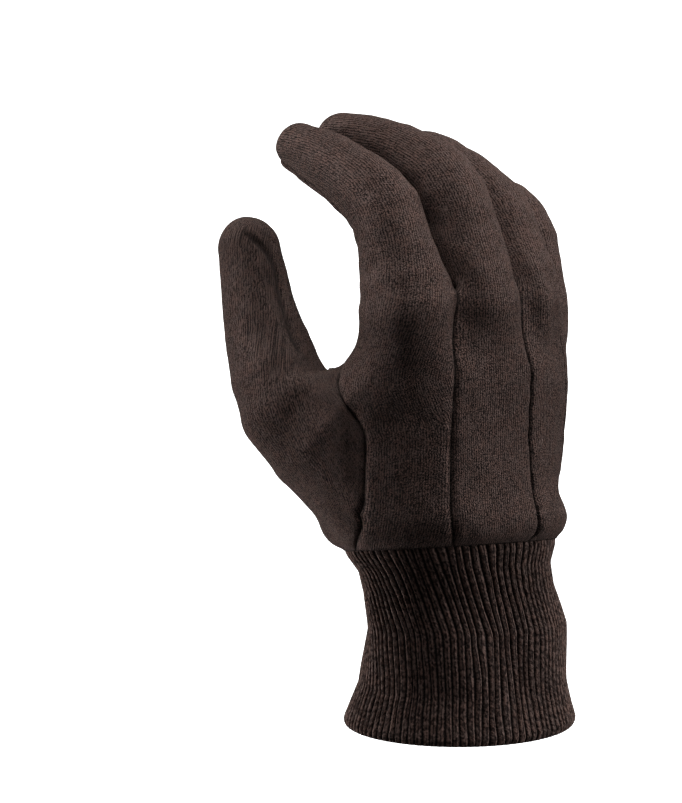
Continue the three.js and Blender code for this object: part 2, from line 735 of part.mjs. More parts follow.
// One sewn piece: its part of the sheet, drawn back from the seams and given the wall
function pieceGeometry(piece, wall) {
  const own = faces.filter((face) => face.piece === piece);
  const edges = new Map();
  own.forEach((face) => {
    face.corners.forEach((a, i) => {
      const b = face.corners[(i + 1) % face.corners.length];
      if (edges.has(`${b},${a}`)) edges.delete(`${b},${a}`);
      else edges.set(`${a},${b}`, { a, b, face });
    });
  });
  const shifts = new Map();
  edges.forEach(({ a, b, face }) => {
    const inward = unit(cross(face.direction, minus(points[b], points[a])));
    [a, b].forEach((id) => {
      if (!shifts.has(id)) shifts.set(id, []);
      shifts.get(id).push(inward);
    });
  });
  const list = [];
  const number = new Map();
  const place = (id) => {
    if (number.has(id)) return number.get(id);
    let outer = points[id];
    let inner = add(outer, outward[id], -wall);
    if (shifts.has(id)) {
      const [first, second] = shifts.get(id);
      const middle = unit(add(first, second));
      const spread = Math.max(dot(middle, first), 0.5);
      outer = add(outer, middle, seamGap / 2 / spread);
      inner = add(inner, middle, (seamGap / 2 + edgeBevel) / spread);
    }
    const start = list.push(outer, inner) - 2;
    number.set(id, start);
    return start;
  };
  const triangles = [];
  own.forEach(({ corners }) => {
    const gap = (i, j) => size(minus(points[corners[i]], points[corners[j]]));
    const turned = corners.length === 4 && gap(1, 3) < gap(0, 2);
    const [a, b, c, d] = (turned ? [...corners.slice(1), corners[0]] : corners).map(place);
    triangles.push([a, b, c], [a + 1, c + 1, b + 1]);
    if (corners.length === 4) triangles.push([a, c, d], [a + 1, d + 1, c + 1]);
  });
  edges.forEach(({ a, b }) => {
    const from = place(a);
    const to = place(b);
    // Both pieces at a seam split its edge along the same diagonal
    if (b > a) triangles.push([to, from, from + 1], [to, from + 1, to + 1]);
    else triangles.push([to, from, to + 1], [from, from + 1, to + 1]);
  });
  return geometryOf(list, triangles);
}

// Knit cuff: ribbed outside, smooth inside
function cuffGeometry() {
  const list = [];
  const triangles = [];
  const outerCount = 2 * ribCount;
  const innerCount = ribCount / 2;
  const rowPoint = (row, angle, inset) => {
    const width = row.width * cuffWidth / 2 - inset;
    const depth = row.depth * cuffDepth / 2 - inset;
    const x = row.shiftX * cuffWidth + width * Math.cos(angle);
    const y = row.shiftY * cuffDepth + depth * Math.sin(angle);
    const top = seamHeight(x, y) - seamGap / 2;
    return [x, y, mix(mouthSlopeX * x + mouthSlopeY * y, top, row.height)];
  };
  cuffRows.forEach((row) => {
    for (let j = 0; j < outerCount; j += 1) {
      const angle = (j / outerCount * 360 + ribTwist * row.height) * radians;
      list.push(rowPoint(row, angle, j % 2 === 0 ? 0 : ribDepth));
    }
  });
  cuffRows.forEach((row) => {
    for (let j = 0; j < innerCount; j += 1) {
      const angle = (j / innerCount * 360 + ribTwist * row.height) * radians;
      list.push(rowPoint(row, angle, ribDepth + cuffWall));
    }
  });
  const outer = (r, j) => r * outerCount + (j % outerCount);
  const inner = (r, j) => cuffRows.length * outerCount + r * innerCount + (j % innerCount);
  const last = cuffRows.length - 1;
  for (let r = 0; r < last; r += 1) {
    for (let j = 0; j < outerCount; j += 1) {
      triangles.push([outer(r, j), outer(r, j + 1), outer(r + 1, j + 1)]);
      triangles.push([outer(r, j), outer(r + 1, j + 1), outer(r + 1, j)]);
    }
    for (let j = 0; j < innerCount; j += 1) {
      triangles.push([inner(r, j), inner(r + 1, j + 1), inner(r, j + 1)]);
      triangles.push([inner(r, j), inner(r + 1, j), inner(r + 1, j + 1)]);
    }
  }
  for (let j = 0; j < innerCount; j += 1) {
    for (let k = 0; k < 4; k += 1) {
      triangles.push([inner(0, j), outer(0, 4 * j + k + 1), outer(0, 4 * j + k)]);
      triangles.push([inner(last, j), outer(last, 4 * j + k), outer(last, 4 * j + k + 1)]);
    }
    triangles.push([inner(0, j), inner(0, j + 1), outer(0, 4 * j + 4)]);
    triangles.push([inner(last, j), outer(last, 4 * j + 4), inner(last, j + 1)]);
  }
  return geometryOf(list, triangles);
}

const jerseyColor = 0x3c302c;
const cuffColor = 0x382d29;
const glove = new THREE.Group();
glove.name = 'cotton_work_glove';
function addPiece(name, geometry, color) {
  const material = new THREE.MeshStandardMaterial({ color, roughness: 0.95, metalness: 0 });
  material.name = `${name}_cloth`;
  const mesh = new THREE.Mesh(geometry, material);
  mesh.name = name;
  glove.add(mesh);
}
const panelNames = ['palm_thumb_panel', ...fingers.map(({ name }) => `back_${name}_panel`)];
panelNames.forEach((name, piece) => addPiece(name, pieceGeometry(piece, jerseyWall), jerseyColor));
addPiece('knit_cuff', cuffGeometry(), cuffColor);

export default glove;
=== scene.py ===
import math

import bpy
import numpy as np
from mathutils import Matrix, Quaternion, Vector
from mathutils.kdtree import KDTree


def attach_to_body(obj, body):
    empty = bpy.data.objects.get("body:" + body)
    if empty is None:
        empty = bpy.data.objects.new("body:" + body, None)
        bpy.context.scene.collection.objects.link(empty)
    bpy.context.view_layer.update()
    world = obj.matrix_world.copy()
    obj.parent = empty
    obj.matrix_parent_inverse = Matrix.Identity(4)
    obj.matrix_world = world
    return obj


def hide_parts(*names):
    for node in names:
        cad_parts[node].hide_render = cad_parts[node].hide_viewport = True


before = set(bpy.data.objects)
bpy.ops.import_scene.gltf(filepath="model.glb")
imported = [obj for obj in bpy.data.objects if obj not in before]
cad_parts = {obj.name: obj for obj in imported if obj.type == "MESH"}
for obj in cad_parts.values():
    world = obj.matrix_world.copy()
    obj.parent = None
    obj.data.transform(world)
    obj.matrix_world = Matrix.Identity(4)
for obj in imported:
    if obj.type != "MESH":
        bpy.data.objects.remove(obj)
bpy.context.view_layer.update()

# Sizes in millimetres, the same as the part's
CUFF_LENGTH, CUFF_WIDTH, CUFF_DEPTH = 57.5, 70.0, 48.0
PALM_LENGTH, HAND_WIDTH, HAND_DEPTH, WRIST_DEPTH = 77.0, 90.0, 40.0, 45.0
FINGER_LENGTH, FINGER_WIDTH, THUMB_WIDTH = 88.0, 31.0, 38.0
JERSEY_WALL, CUFF_WALL, RIB_COUNT, RIB_DEPTH = 1.8, 1.7, 96, 0.7
SEAM_GAP, FINGER_GAP, VALLEY_REACH = 0.3, 1.0, 5.0
PALM_BLEND, CROTCH_BLEND, WEB_BLEND, WEB_INNER_BLEND, THUMB_BLEND = 16.0, 1.5, 30.0, 10.0, 5.0
CROTCH_START, CROTCH_REACH, THUMB_START, THUMB_REACH = -22.0, 34.0, 15.0, 45.0
WRIST_BULGE, BULGE_REACH, WRIST_ROLL, FOLD_DEPTH = 1.5, 7.0, 8.0, 2.4
SEAM_SLOPE_X, SEAM_SLOPE_Y = -0.073, -0.16
MOUTH_SLOPE_X, MOUTH_SLOPE_Y = -0.064, 0.06
# Twist of the ribs up the cuff in degrees, most on the thumb side
TWIST_HEIGHTS = [0, 0.33, 0.58, 0.69, 0.78, 0.89, 1]
TWISTS = [0, -4, -8.5, -12, -15, -19, -20]

# name, knuckle x y z, wrist x y, root inner outer, length,
# splay, lean, root mid tip bend, joint, root mid tip width
FINGERS = [
    ("index", -0.256, -0.098, 0.982, -0.16, 0.02, 0.06, 0.06, 0.911,
     1.1, 2.3, 20.7, 63.7, 75, 0.4, 1.006, 0.729, 0.523),
    ("middle", -0.001, -0.208, 0.983, -0.05, -0.03, 0.06, 0.05, 0.994,
     3.5, -4.6, 19.7, 66, 82, 0.42, 0.984, 0.765, 0.576),
    ("ring", 0.223, -0.155, 0.978, 0.07, -0.02, 0.05, 0.0, 0.961,
     7.3, -3, 25.5, 63.8, 84.7, 0.37, 0.942, 0.703, 0.555),
    ("little", 0.358, 0.005, 0.831, 0.15, 0.02, 0.1, 0.05, 0.856,
     13.5, -4.5, 18.7, 65, 87, 0.46, 0.761, 0.703, 0.516),
]
FINGER_STEPS, THUMB_STEPS = 10, 8
# Bends of a finger: where each starts before its place and over which share of the length it grows
ROOT_BEND_START, ROOT_BEND_REACH, MID_BEND_REACH = 0.35, 0.18, 0.3
TIP_BEND_PLACE, TIP_BEND_REACH = 0.6, 0.24
WIDTH_PLACES, MID_WIDTH_START, MID_WIDTH_END = [0, 0.28, 0.6, 1], 1.03, 0.97
# x, y, z and width of the thumb's and the web's sections, in the part's shares
THUMB_ROWS = [
    (-0.215, 0.215, 0.25, 0.9),
    (-0.476, 0.65, 0.54, 0.87),
    (-0.486, 1.02, 0.864, 0.66),
    (-0.474, 1.267, 1.205, 0.52),
]
WEB_ROWS = [(-0.367, 0.08, 0.71, 0.42), (-0.36, 0.42, 0.5, 0.38)]
# x y z, end x y z, width, height of each fold, in the part's shares
FOLDS = [
    (-0.15, -0.39, 1.08, -0.182, -0.489, 0.85, 0.16, -0.5),
    (0.142, -0.47, 1.02, 0.123, -0.546, 0.85, 0.16, -0.5),
    (0.195, -0.44, 1.1, 0.214, -0.51, 0.92, 0.14, 0.5),
    (0.25, -0.46, 1.07, 0.276, -0.478, 0.85, 0.16, -0.5),
    (-0.46, 0.13, 0.75, -0.43, 0.03, 0.85, 0.16, -0.6),
    (-0.4, -0.3, 0.52, -0.38, -0.43, 0.2, 0.35, -0.7),
    (-0.47, 0.35, 0.09, -0.44, 0.58, 0.13, 0.22, -1.2),
    (0.33, -0.43, 0.21, 0.42, -0.15, 0.21, 0.2, -0.8),
    (-0.28, 0.42, 0.78, -0.02, 0.5, 0.2, 0.2, -0.7),
    (-0.1, 0.3, 0.85, 0.3, 0.4, 0.68, 0.2, -0.6),
]
# height, width, depth, shift x y of each section of the cuff
CUFF_ROWS = np.array([
    (0, 1.205, 1.205, 0.011, -0.013),
    (0.04, 1.207, 1.207, 0.015, -0.018),
    (0.13, 1.15, 1.15, 0.018, -0.022),
    (0.24, 1.086, 1.086, 0.024, -0.031),
    (0.55, 1.035, 1.035, 0.031, -0.04),
    (0.76, 0.985, 0.985, 0.008, -0.01),
    (0.88, 0.995, 0.995, -0.004, 0.004),
    (1, 1.1, 1.1, -0.018, 0.024),
])
PALM_ROWS = [0, 0.035, 0.08, 0.13, 0.2, 0.29, 0.38, 0.47, 0.56, 0.66, 0.77, 0.88, 1]
# Angles round the palm at four heights, for every SIDE_STEPS columns of the base sheet
LINE_HEIGHTS = [0, 0.12, 0.47, 0.66]
LINE_ROWS = [
    (183, 172, 174, 195),
    (131, 135, 137, 135),
    (70, 71, 68, 66),
    (28, 28, 26, 24),
    (2, 2, 2, 2),
    (-26, -26, -25, -24),
    (-52, -52, -51, -50),
    (-80, -80, -80, -80),
    (-106, -106, -107, -108),
    (-134, -136, -137, -138),
    (-177, -188, -186, -165),
]
WEB_ROW, THUMB_LOW_ROW, THUMB_FRONT_COLUMNS = 9, 3, 2
SIDE_STEPS, FINGER_RINGS, CROTCH_LIP, CORNER_ANGLE = 4, 10, 1.0, 40.0
SIDES = 4 * SIDE_STEPS
COLUMNS = 10 * SIDE_STEPS
THUMB_PLACES = [0.36, 0.45, 0.54, 0.63, 0.72, 0.8, 0.87, 0.94, 1]
TIP_TILTS = [0, 32, 62]
THUMB_WEB_SIDE = (0.55, -0.83, 0)
# Rays that find the skin: step and halvings, and how far they go from a finger, the thumb and the palm
CAST_STEP, CAST_HALVINGS = 1.5, 14
FINGER_CAST, THUMB_CAST, PALM_CAST = 30, 26, 62
PROBE, SLOPE_FLOOR = 0.2, 0.3
FINGER_PARTING_BLEND = 3.0
EVEN_ROUNDS = 24
PIECES = ["palm_thumb_panel", "back_index_panel", "back_middle_panel", "back_ring_panel", "back_little_panel"]


def ease(value):
    t = np.clip(value, 0.0, 1.0)
    return t * t * (3 - 2 * t)


def mix(a, b, t):
    return a + (b - a) * t


def unit(a):
    return a / np.maximum(np.linalg.norm(a, axis=-1, keepdims=True), 1e-9)


def soft_min(a, b, size):
    h = np.maximum(size - np.abs(a - b), 0) / size
    return np.minimum(a, b) - h * h * size * 0.25


def hand_point(x, y, z):
    return np.array([x * HAND_WIDTH, y * HAND_DEPTH, CUFF_LENGTH + z * PALM_LENGTH])


# Chains: points, radii and distances along
def finger_chain(f):
    (_, kx, ky, kz, wx, wy, _, _, length,
     splay, lean, root_bend, mid_bend, tip_bend, joint, root_w, mid_w, tip_w) = f
    knuckle = hand_point(kx, ky, kz)
    wrist = hand_point(wx, wy, 0.03)
    root = root_w * FINGER_WIDTH / 2
    length *= FINGER_LENGTH
    back = np.linalg.norm(knuckle - wrist)
    chain = [
        (wrist, WRIST_DEPTH / 2, -back),
        ((wrist + knuckle) / 2, mix(root, WRIST_DEPTH / 2, 0.35), -back / 2),
        (knuckle, root, 0.0),
    ]
    point = knuckle
    s, l = math.radians(splay), math.radians(lean)
    for i in range(FINGER_STEPS):
        place = (i + 0.5) / FINGER_STEPS
        bend = root_bend * ease(place / ROOT_BEND_REACH + ROOT_BEND_START)
        bend += (mid_bend - root_bend) * ease((place - joint + MID_BEND_REACH / 2) / MID_BEND_REACH)
        bend += (tip_bend - mid_bend) * ease((place - TIP_BEND_PLACE) / TIP_BEND_REACH)
        b = math.radians(bend)
        step = unit(np.array([
            math.sin(b) * math.sin(l) + math.cos(b) * math.sin(s),
            math.sin(b) * math.cos(l),
            math.cos(b) * math.cos(s),
        ]))
        point = point + step * length / FINGER_STEPS
        end = (i + 1) / FINGER_STEPS
        width = np.interp(end, WIDTH_PLACES, [root_w, mid_w * MID_WIDTH_START, mid_w * MID_WIDTH_END, tip_w])
        chain.append((point, width * FINGER_WIDTH / 2, end * length))
    return chain


def thumb_chain():
    rows = [hand_point(*row[:3]) for row in THUMB_ROWS]
    path = [2 * rows[0] - rows[1], *rows, 2 * rows[3] - rows[2]]
    chain = []
    along = 0.0
    for i in range(THUMB_STEPS + 1):
        place = i / THUMB_STEPS * 3
        row = min(int(place), 2)
        t = place - row
        a, b, c, d = path[row:row + 4]
        point = 2 * b + (c - a) * t + (2 * a - 5 * b + 4 * c - d) * t * t
        point = 0.5 * (point + (3 * b - a - 3 * c + d) * t ** 3)
        if i:
            along += np.linalg.norm(point - chain[-1][0])
        radius = mix(THUMB_ROWS[row][3], THUMB_ROWS[row + 1][3], t) * THUMB_WIDTH / 2
        chain.append((point, radius, along))
    return chain


CHAINS = [finger_chain(f) for f in FINGERS]
THUMB = thumb_chain()
THUMB_LENGTH = THUMB[-1][2]
WEB = [(hand_point(*row[:3]), row[3] * THUMB_WIDTH / 2, i) for i, row in enumerate(WEB_ROWS)]
FOLD_TUBES = []
for *ends, width, height in FOLDS:
    path = [(hand_point(*ends[:3]), 0.0, 0.0), (hand_point(*ends[3:]), 0.0, 1.0)]
    FOLD_TUBES.append((path, width * FINGER_WIDTH, height * FOLD_DEPTH))


def tube(p, chain):
    """Distance to a chain of tapered capsules, and the place along it."""
    distance = np.full(len(p), np.inf)
    along = np.zeros(len(p))
    for (a, ra, sa), (b, rb, sb) in zip(chain[:-1], chain[1:]):
        axis = b - a
        rel = p - a
        t = np.clip(rel @ axis / (axis @ axis), 0, 1)
        rel -= t[:, None] * axis
        gap = np.sqrt((rel * rel).sum(1)) - (ra + (rb - ra) * t)
        near = gap < distance
        distance = np.where(near, gap, distance)
        along = np.where(near, sa + (sb - sa) * t, along)
    return distance, along


def seam_height(x, y):
    return CUFF_LENGTH + SEAM_SLOPE_X * x + SEAM_SLOPE_Y * y


def palm_skin(p):
    distance, along = tube(p, CHAINS[0])
    for chain in CHAINS[1:]:
        d, s = tube(p, chain)
        apart = ease((0.5 * (along + s) - CROTCH_START) / CROTCH_REACH)
        along = np.where(d < distance, s, along)
        distance = soft_min(distance, d, mix(PALM_BLEND, CROTCH_BLEND, apart))
    for path, width, height in FOLD_TUBES:
        distance = distance - height * np.exp(-(tube(p, path)[0] / width) ** 2)
    height = p[:, 2] - seam_height(p[:, 0], p[:, 1])
    return distance - WRIST_BULGE * np.exp(-(height / BULGE_REACH - 1) ** 2)


def skin(p):
    thumb_distance, thumb_along = tube(p, THUMB)
    apart = ease((thumb_along - THUMB_START) / THUMB_REACH)
    distance = soft_min(palm_skin(p), tube(p, WEB)[0], WEB_INNER_BLEND)
    return soft_min(distance, thumb_distance, mix(WEB_BLEND, THUMB_BLEND, apart))


def finger_skin(index, clear):
    def surface(p):
        distance = skin(p)
        own = tube(p, CHAINS[index])[0]
        for other in (index - 1, index + 1):
            if 0 <= other <= 3:
                beside = tube(p, CHAINS[other])[0]
                distance = -soft_min(-distance, -((own - beside) / 2 + clear), FINGER_PARTING_BLEND)
        return distance
    return surface


def cast(origin, direction, surface, reach):
    """Where rays from inside leave the surface, or their ends at reach."""
    origin, direction = np.atleast_2d(origin), np.atleast_2d(direction)
    origin = np.broadcast_to(origin, direction.shape)
    far = np.full(len(direction), CAST_STEP)
    moving = np.ones(len(direction), bool)
    while moving.any():
        ids = np.flatnonzero(moving)
        inside = surface(origin[ids] + direction[ids] * far[ids, None]) < 0
        go = inside & (far[ids] < reach)
        far[ids[go]] += CAST_STEP
        moving[ids[~go]] = False
    near = far - CAST_STEP
    for _ in range(CAST_HALVINGS):
        middle = (near + far) / 2
        inside = surface(origin + direction * middle[:, None]) < 0
        near = np.where(inside, middle, near)
        far = np.where(inside, far, middle)
    return origin + direction * far[:, None]


def settle(p, surface, rounds=4):
    """Moves points down the surface's slope until they lie on it."""
    for _ in range(rounds):
        value = surface(p)
        slope = np.stack([(surface(p + PROBE * np.eye(3)[k]) - value) / PROBE for k in range(3)], 1)
        p = p - slope * (value / np.maximum((slope * slope).sum(1), SLOPE_FLOOR))[:, None]
    return p


def lay(p, owners):
    """Puts points on the skin of the finger they belong to, or for -1 of the whole glove."""
    laid = p.copy()
    for owner in range(-1, 4):
        mask = owners == owner
        laid[mask] = settle(p[mask], skin if owner < 0 else finger_skin(owner, FINGER_GAP / 2), 2)
    return laid


def chain_place(chain, along):
    i = 0
    while i < len(chain) - 2 and along > chain[i + 1][2]:
        i += 1
    a, b = chain[i], chain[i + 1]
    t = (along - a[2]) / (b[2] - a[2])
    here = unit(b[0] - a[0])
    if t < 0.5:
        other = a[0] - chain[max(i - 1, 0)][0]
    else:
        other = chain[min(i + 2, len(chain) - 1)][0] - b[0]
    length = np.linalg.norm(other)
    other = other / (length or 1)
    usable = length > 0 and np.linalg.norm(other - here) < 1
    forward = unit(mix(here, other, abs(t - 0.5))) if usable else here
    return mix(a[0], b[0], t), forward


# Base sheet: faces whose edges follow the seams, which are also the four corners of a finger's ring
CORNERS = [180 - CORNER_ANGLE, CORNER_ANGLE, -CORNER_ANGLE, -180 + CORNER_ANGLE, -180 - CORNER_ANGLE]
RING_ANGLES = np.radians(np.interp(np.arange(SIDES) / SIDE_STEPS, range(5), CORNERS))


def finger_frame(index, along):
    point, forward = chain_place(CHAINS[index], along)
    splay, lean = math.radians(FINGERS[index][9]), math.radians(FINGERS[index][10])
    sideways = np.array([math.cos(lean), -math.sin(lean), -math.sin(splay)])
    front = unit(np.cross(forward, sideways))
    return point, forward, front, np.cross(front, forward)


def root_along(index, angle):
    return mix(FINGERS[index][6], FINGERS[index][7], (math.cos(angle) + 1) / 2) * FINGER_LENGTH


def finger_ring(index, share, tilt, clear):
    length = FINGERS[index][8] * FINGER_LENGTH
    origins, directions = [], []
    for angle in RING_ANGLES:
        root = root_along(index, angle)
        point, forward, front, side = finger_frame(index, root + share * (length - root))
        radial = side * math.cos(angle) - front * math.sin(angle)
        origins.append(point)
        directions.append(radial * math.cos(tilt) + forward * math.sin(tilt))
    return cast(np.array(origins), np.array(directions), finger_skin(index, clear), FINGER_CAST)


points = []
# Corner points, piece and place in a knit grid of each face: kind, row, column and, on a finger, its number
faces = []


def add_object(name, data):
    result = bpy.data.objects.new(name, data)
    bpy.context.collection.objects.link(result)
    return result


def attach(mesh, name, kind, domain, values):
    mesh.attributes.new(name, kind, domain).data.foreach_set("value", values)


def add_point(p):
    points.append(np.array(p, float))
    return len(points) - 1


def angle_of(p, centre):
    return math.atan2(centre[1] - p[1], p[0] - centre[0])


root_rings = [finger_ring(i, 0.0, 0.0, 0.0) for i in range(4)]
top_ring = [None] * COLUMNS
for i in range(4):
    for j in range(SIDE_STEPS):
        top_ring[i * SIDE_STEPS + j] = root_rings[i][j]
        top_ring[(8 - i) * SIDE_STEPS + j] = root_rings[i][2 * SIDE_STEPS + j]
for j in range(SIDE_STEPS):
    top_ring[4 * SIDE_STEPS + j] = root_rings[3][SIDE_STEPS + j]
    top_ring[9 * SIDE_STEPS + j] = root_rings[0][3 * SIDE_STEPS + j]
crotches = []
crotch_ends = []
for i in range(3):
    back = (root_rings[i][SIDE_STEPS] + root_rings[i + 1][0]) / 2
    front = (root_rings[i][2 * SIDE_STEPS] + root_rings[i + 1][3 * SIDE_STEPS]) / 2
    direction = unit(front - back)
    ends = cast((back + front) / 2, np.stack([-direction, direction]), skin, FINGER_CAST)
    top_ring[(i + 1) * SIDE_STEPS] = ends[0]
    top_ring[(8 - i) * SIDE_STEPS] = ends[1]
    crotch_ends += [ends[0], ends[1]]
    crotches.append([mix(ends[0], ends[1], j / SIDE_STEPS) for j in range(1, SIDE_STEPS)])


def line_angle(line, height):
    row, t = min(int(line), 9), line - min(int(line), 9)
    angles = [mix(LINE_ROWS[row][k], LINE_ROWS[row + 1][k], t) for k in range(4)]
    return math.radians(np.interp(height, LINE_HEIGHTS, angles))


palm = np.zeros((len(PALM_ROWS), COLUMNS), int)
top_row = len(PALM_ROWS) - 1
seam_row = CUFF_ROWS[-1]
seam_centre = np.array([seam_row[3] * CUFF_WIDTH, seam_row[4] * CUFF_DEPTH])
web_height = PALM_ROWS[WEB_ROW]
origins, directions, edges, slots, beside = [], [], [], [], []
for c in range(COLUMNS):
    place = c / SIDE_STEPS
    cuff_angle, web_angle = line_angle(place, 0), line_angle(place, web_height)
    top_angle = angle_of(top_ring[c], (2, -2))
    top_angle = web_angle + math.remainder(top_angle - web_angle, 2 * math.pi)
    reach = 1 / math.hypot(
        math.cos(cuff_angle) / (seam_row[1] * CUFF_WIDTH / 2),
        math.sin(cuff_angle) / (seam_row[2] * CUFF_DEPTH / 2),
    )
    ex = seam_centre[0] + reach * math.cos(cuff_angle)
    ey = seam_centre[1] - reach * math.sin(cuff_angle)
    for r, share in enumerate(PALM_ROWS):
        if r == top_row:
            palm[r, c] = add_point(top_ring[c])
            continue
        angle = line_angle(place, share)
        if share >= web_height:
            angle = mix(web_angle, top_angle, ease((share - web_height) / (1 - web_height)))
        height = mix(seam_height(ex, ey), top_ring[c][2], share)
        origins.append((mix(-1, 2, share), mix(0, -2, share), height))
        directions.append((math.cos(angle), -math.sin(angle), 0))
        edges.append((ex, ey, height))
        beside.append(c > 6 * SIDE_STEPS and r >= THUMB_LOW_ROW)
        rise = np.clip(share * PALM_LENGTH / WRIST_ROLL, 0, 1)
        palm[r, c] = add_point((0, 0, 0))
        slots.append((palm[r, c], math.sqrt(1 - (1 - rise) ** 2)))
origins, directions, edges, beside = (np.array(a) for a in (origins, directions, edges, beside))
full = np.zeros((len(origins), 3))
full[beside] = cast(origins[beside], directions[beside], palm_skin, PALM_CAST)
full[~beside] = cast(origins[~beside], directions[~beside], skin, PALM_CAST)
for (slot, share), edge, reached in zip(slots, edges, full):
    points[slot] = mix(edge, reached, share)


def palm_at(r, c):
    return int(palm[r, c % COLUMNS])


def piece_of_column(r, c):
    if c < 5 * SIDE_STEPS:
        return min(1 + c // SIDE_STEPS, 4)
    return 1 if c >= 9 * SIDE_STEPS and r >= WEB_ROW else 0


thumb_first = 9 * SIDE_STEPS - THUMB_FRONT_COLUMNS
crotch_points = [[add_point(p) for p in path] for path in crotches]


def root_point(index, j):
    quarter, t = divmod(j % SIDES, SIDE_STEPS)
    if quarter == 1 and index < 3 and t:
        return crotch_points[index][t - 1]
    if quarter == 3 and index > 0 and t:
        return crotch_points[index - 1][SIDE_STEPS - 1 - t]
    return palm_at(top_row, (index, index + 1, 8 - index, 9 - index)[quarter] * SIDE_STEPS + t)


def in_crotch(index, j):
    quarter = j / SIDE_STEPS
    if index < 3 and 1 <= quarter <= 2:
        return True
    return index > 0 and (quarter >= 3 or quarter == 0)


finger_sheets = []
finger_tips = []
for index in range(4):
    length = FINGERS[index][8] * FINGER_LENGTH
    rings = [[root_point(index, j) for j in range(SIDES)]]
    for m in range(1, FINGER_RINGS + 3):
        tilt = math.radians(TIP_TILTS[max(m - FINGER_RINGS, 0)])
        ring = finger_ring(index, min(m / FINGER_RINGS, 1), tilt, FINGER_GAP / 2)
        if m == 1:
            for j in range(SIDES):
                if in_crotch(index, j):
                    _, forward, _, side = finger_frame(index, root_along(index, RING_ANGLES[j]))
                    inwards = -1 if SIDE_STEPS <= j <= 2 * SIDE_STEPS else 1
                    ring[j] = points[rings[0][j]] + forward * CROTCH_LIP + side * inwards * FINGER_GAP / 2
        rings.append([add_point(p) for p in ring])
    point, forward, _, _ = finger_frame(index, length)
    finger_sheets.append(rings)
    finger_tips.append(add_point(cast(point, forward, finger_skin(index, FINGER_GAP / 2), FINGER_CAST)[0]))

thumb_ring = [palm_at(WEB_ROW, c) for c in range(COLUMNS, thumb_first, -1)]
thumb_ring += [palm_at(r, thumb_first) for r in range(WEB_ROW, THUMB_LOW_ROW, -1)]
thumb_ring += [palm_at(THUMB_LOW_ROW, c) for c in range(thumb_first, COLUMNS)]
thumb_ring += [palm_at(r, 0) for r in range(THUMB_LOW_ROW, WEB_ROW)]
thumb_sides = len(thumb_ring)


def thumb_frame(along):
    point, forward = chain_place(THUMB, along)
    web_side = unit(np.array(THUMB_WEB_SIDE))
    up = unit(web_side - forward * (web_side @ forward))
    return point, forward, up, np.cross(forward, up)


first_point, _, first_up, first_inner = thumb_frame(THUMB_PLACES[0] * THUMB_LENGTH)
start_angles = []
for j, pid in enumerate(thumb_ring):
    away = points[pid] - first_point
    angle = math.atan2(away @ first_inner, away @ first_up)
    if j:
        angle = start_angles[-1] + math.remainder(angle - start_angles[-1], 2 * math.pi)
    start_angles.append(angle)
# From the root's uneven places the columns even out over this many rings
THUMB_EVEN_RINGS = 4
thumb_step = 2 * math.pi / thumb_sides
even_start = sum(a - j * thumb_step for j, a in enumerate(start_angles)) / thumb_sides
thumb_rings = [thumb_ring]
for k in range(1, len(THUMB_PLACES) + 3):
    along = THUMB_PLACES[min(k, len(THUMB_PLACES)) - 1] * THUMB_LENGTH
    tilt = math.radians(TIP_TILTS[max(k - len(THUMB_PLACES), 0)])
    point, forward, up, inner = thumb_frame(along)
    even_angles = even_start + np.arange(thumb_sides) * thumb_step
    angles = mix(np.array(start_angles), even_angles, ease(k / THUMB_EVEN_RINGS))
    rounds = np.cos(angles)[:, None] * up + np.sin(angles)[:, None] * inner
    ring = cast(point, rounds * math.cos(tilt) + forward * math.sin(tilt), skin, THUMB_CAST)
    thumb_rings.append([add_point(p) for p in ring])
point, forward, _, _ = thumb_frame(THUMB_LENGTH)
thumb_tip = add_point(cast(point, forward, skin, THUMB_CAST)[0])


def strips(rings, tip):
    """Row, column and corner points of the faces between rings and over the tip."""
    for k, ring in enumerate(rings):
        for j, pid in enumerate(ring):
            following = (j + 1) % len(ring)
            above = [tip] if k == len(rings) - 1 else [rings[k + 1][following], rings[k + 1][j]]
            yield k, j, [pid, ring[following], *above]


for r in range(top_row):
    for c in range(COLUMNS):
        if not (c >= thumb_first and THUMB_LOW_ROW <= r < WEB_ROW):
            corners = [palm_at(r, c), palm_at(r, c + 1), palm_at(r + 1, c + 1), palm_at(r + 1, c)]
            faces.append((corners, piece_of_column(r, c), ("palm", r, c)))
for index, (rings, tip) in enumerate(zip(finger_sheets, finger_tips)):
    for m, j, corners in strips(rings, tip):
        front = 2 * SIDE_STEPS <= j < 3 * SIDE_STEPS and m <= FINGER_RINGS
        faces.append((corners, 0 if front else index + 1, ("finger", m, j, index)))
for k, j, corners in strips(thumb_rings, thumb_tip):
    faces.append((corners, 0, ("thumb", k, j)))

# Even out the sheet round the thumb's root and the knuckles, keeping it on the skin
points = np.array(points)
pairs = set()
for corners, _, _ in faces:
    for a, b in zip(corners, corners[1:] + corners[:1]):
        pairs |= {(a, b), (b, a)}
pairs = np.array(sorted(pairs))
around = np.bincount(pairs[:, 0], minlength=len(points))
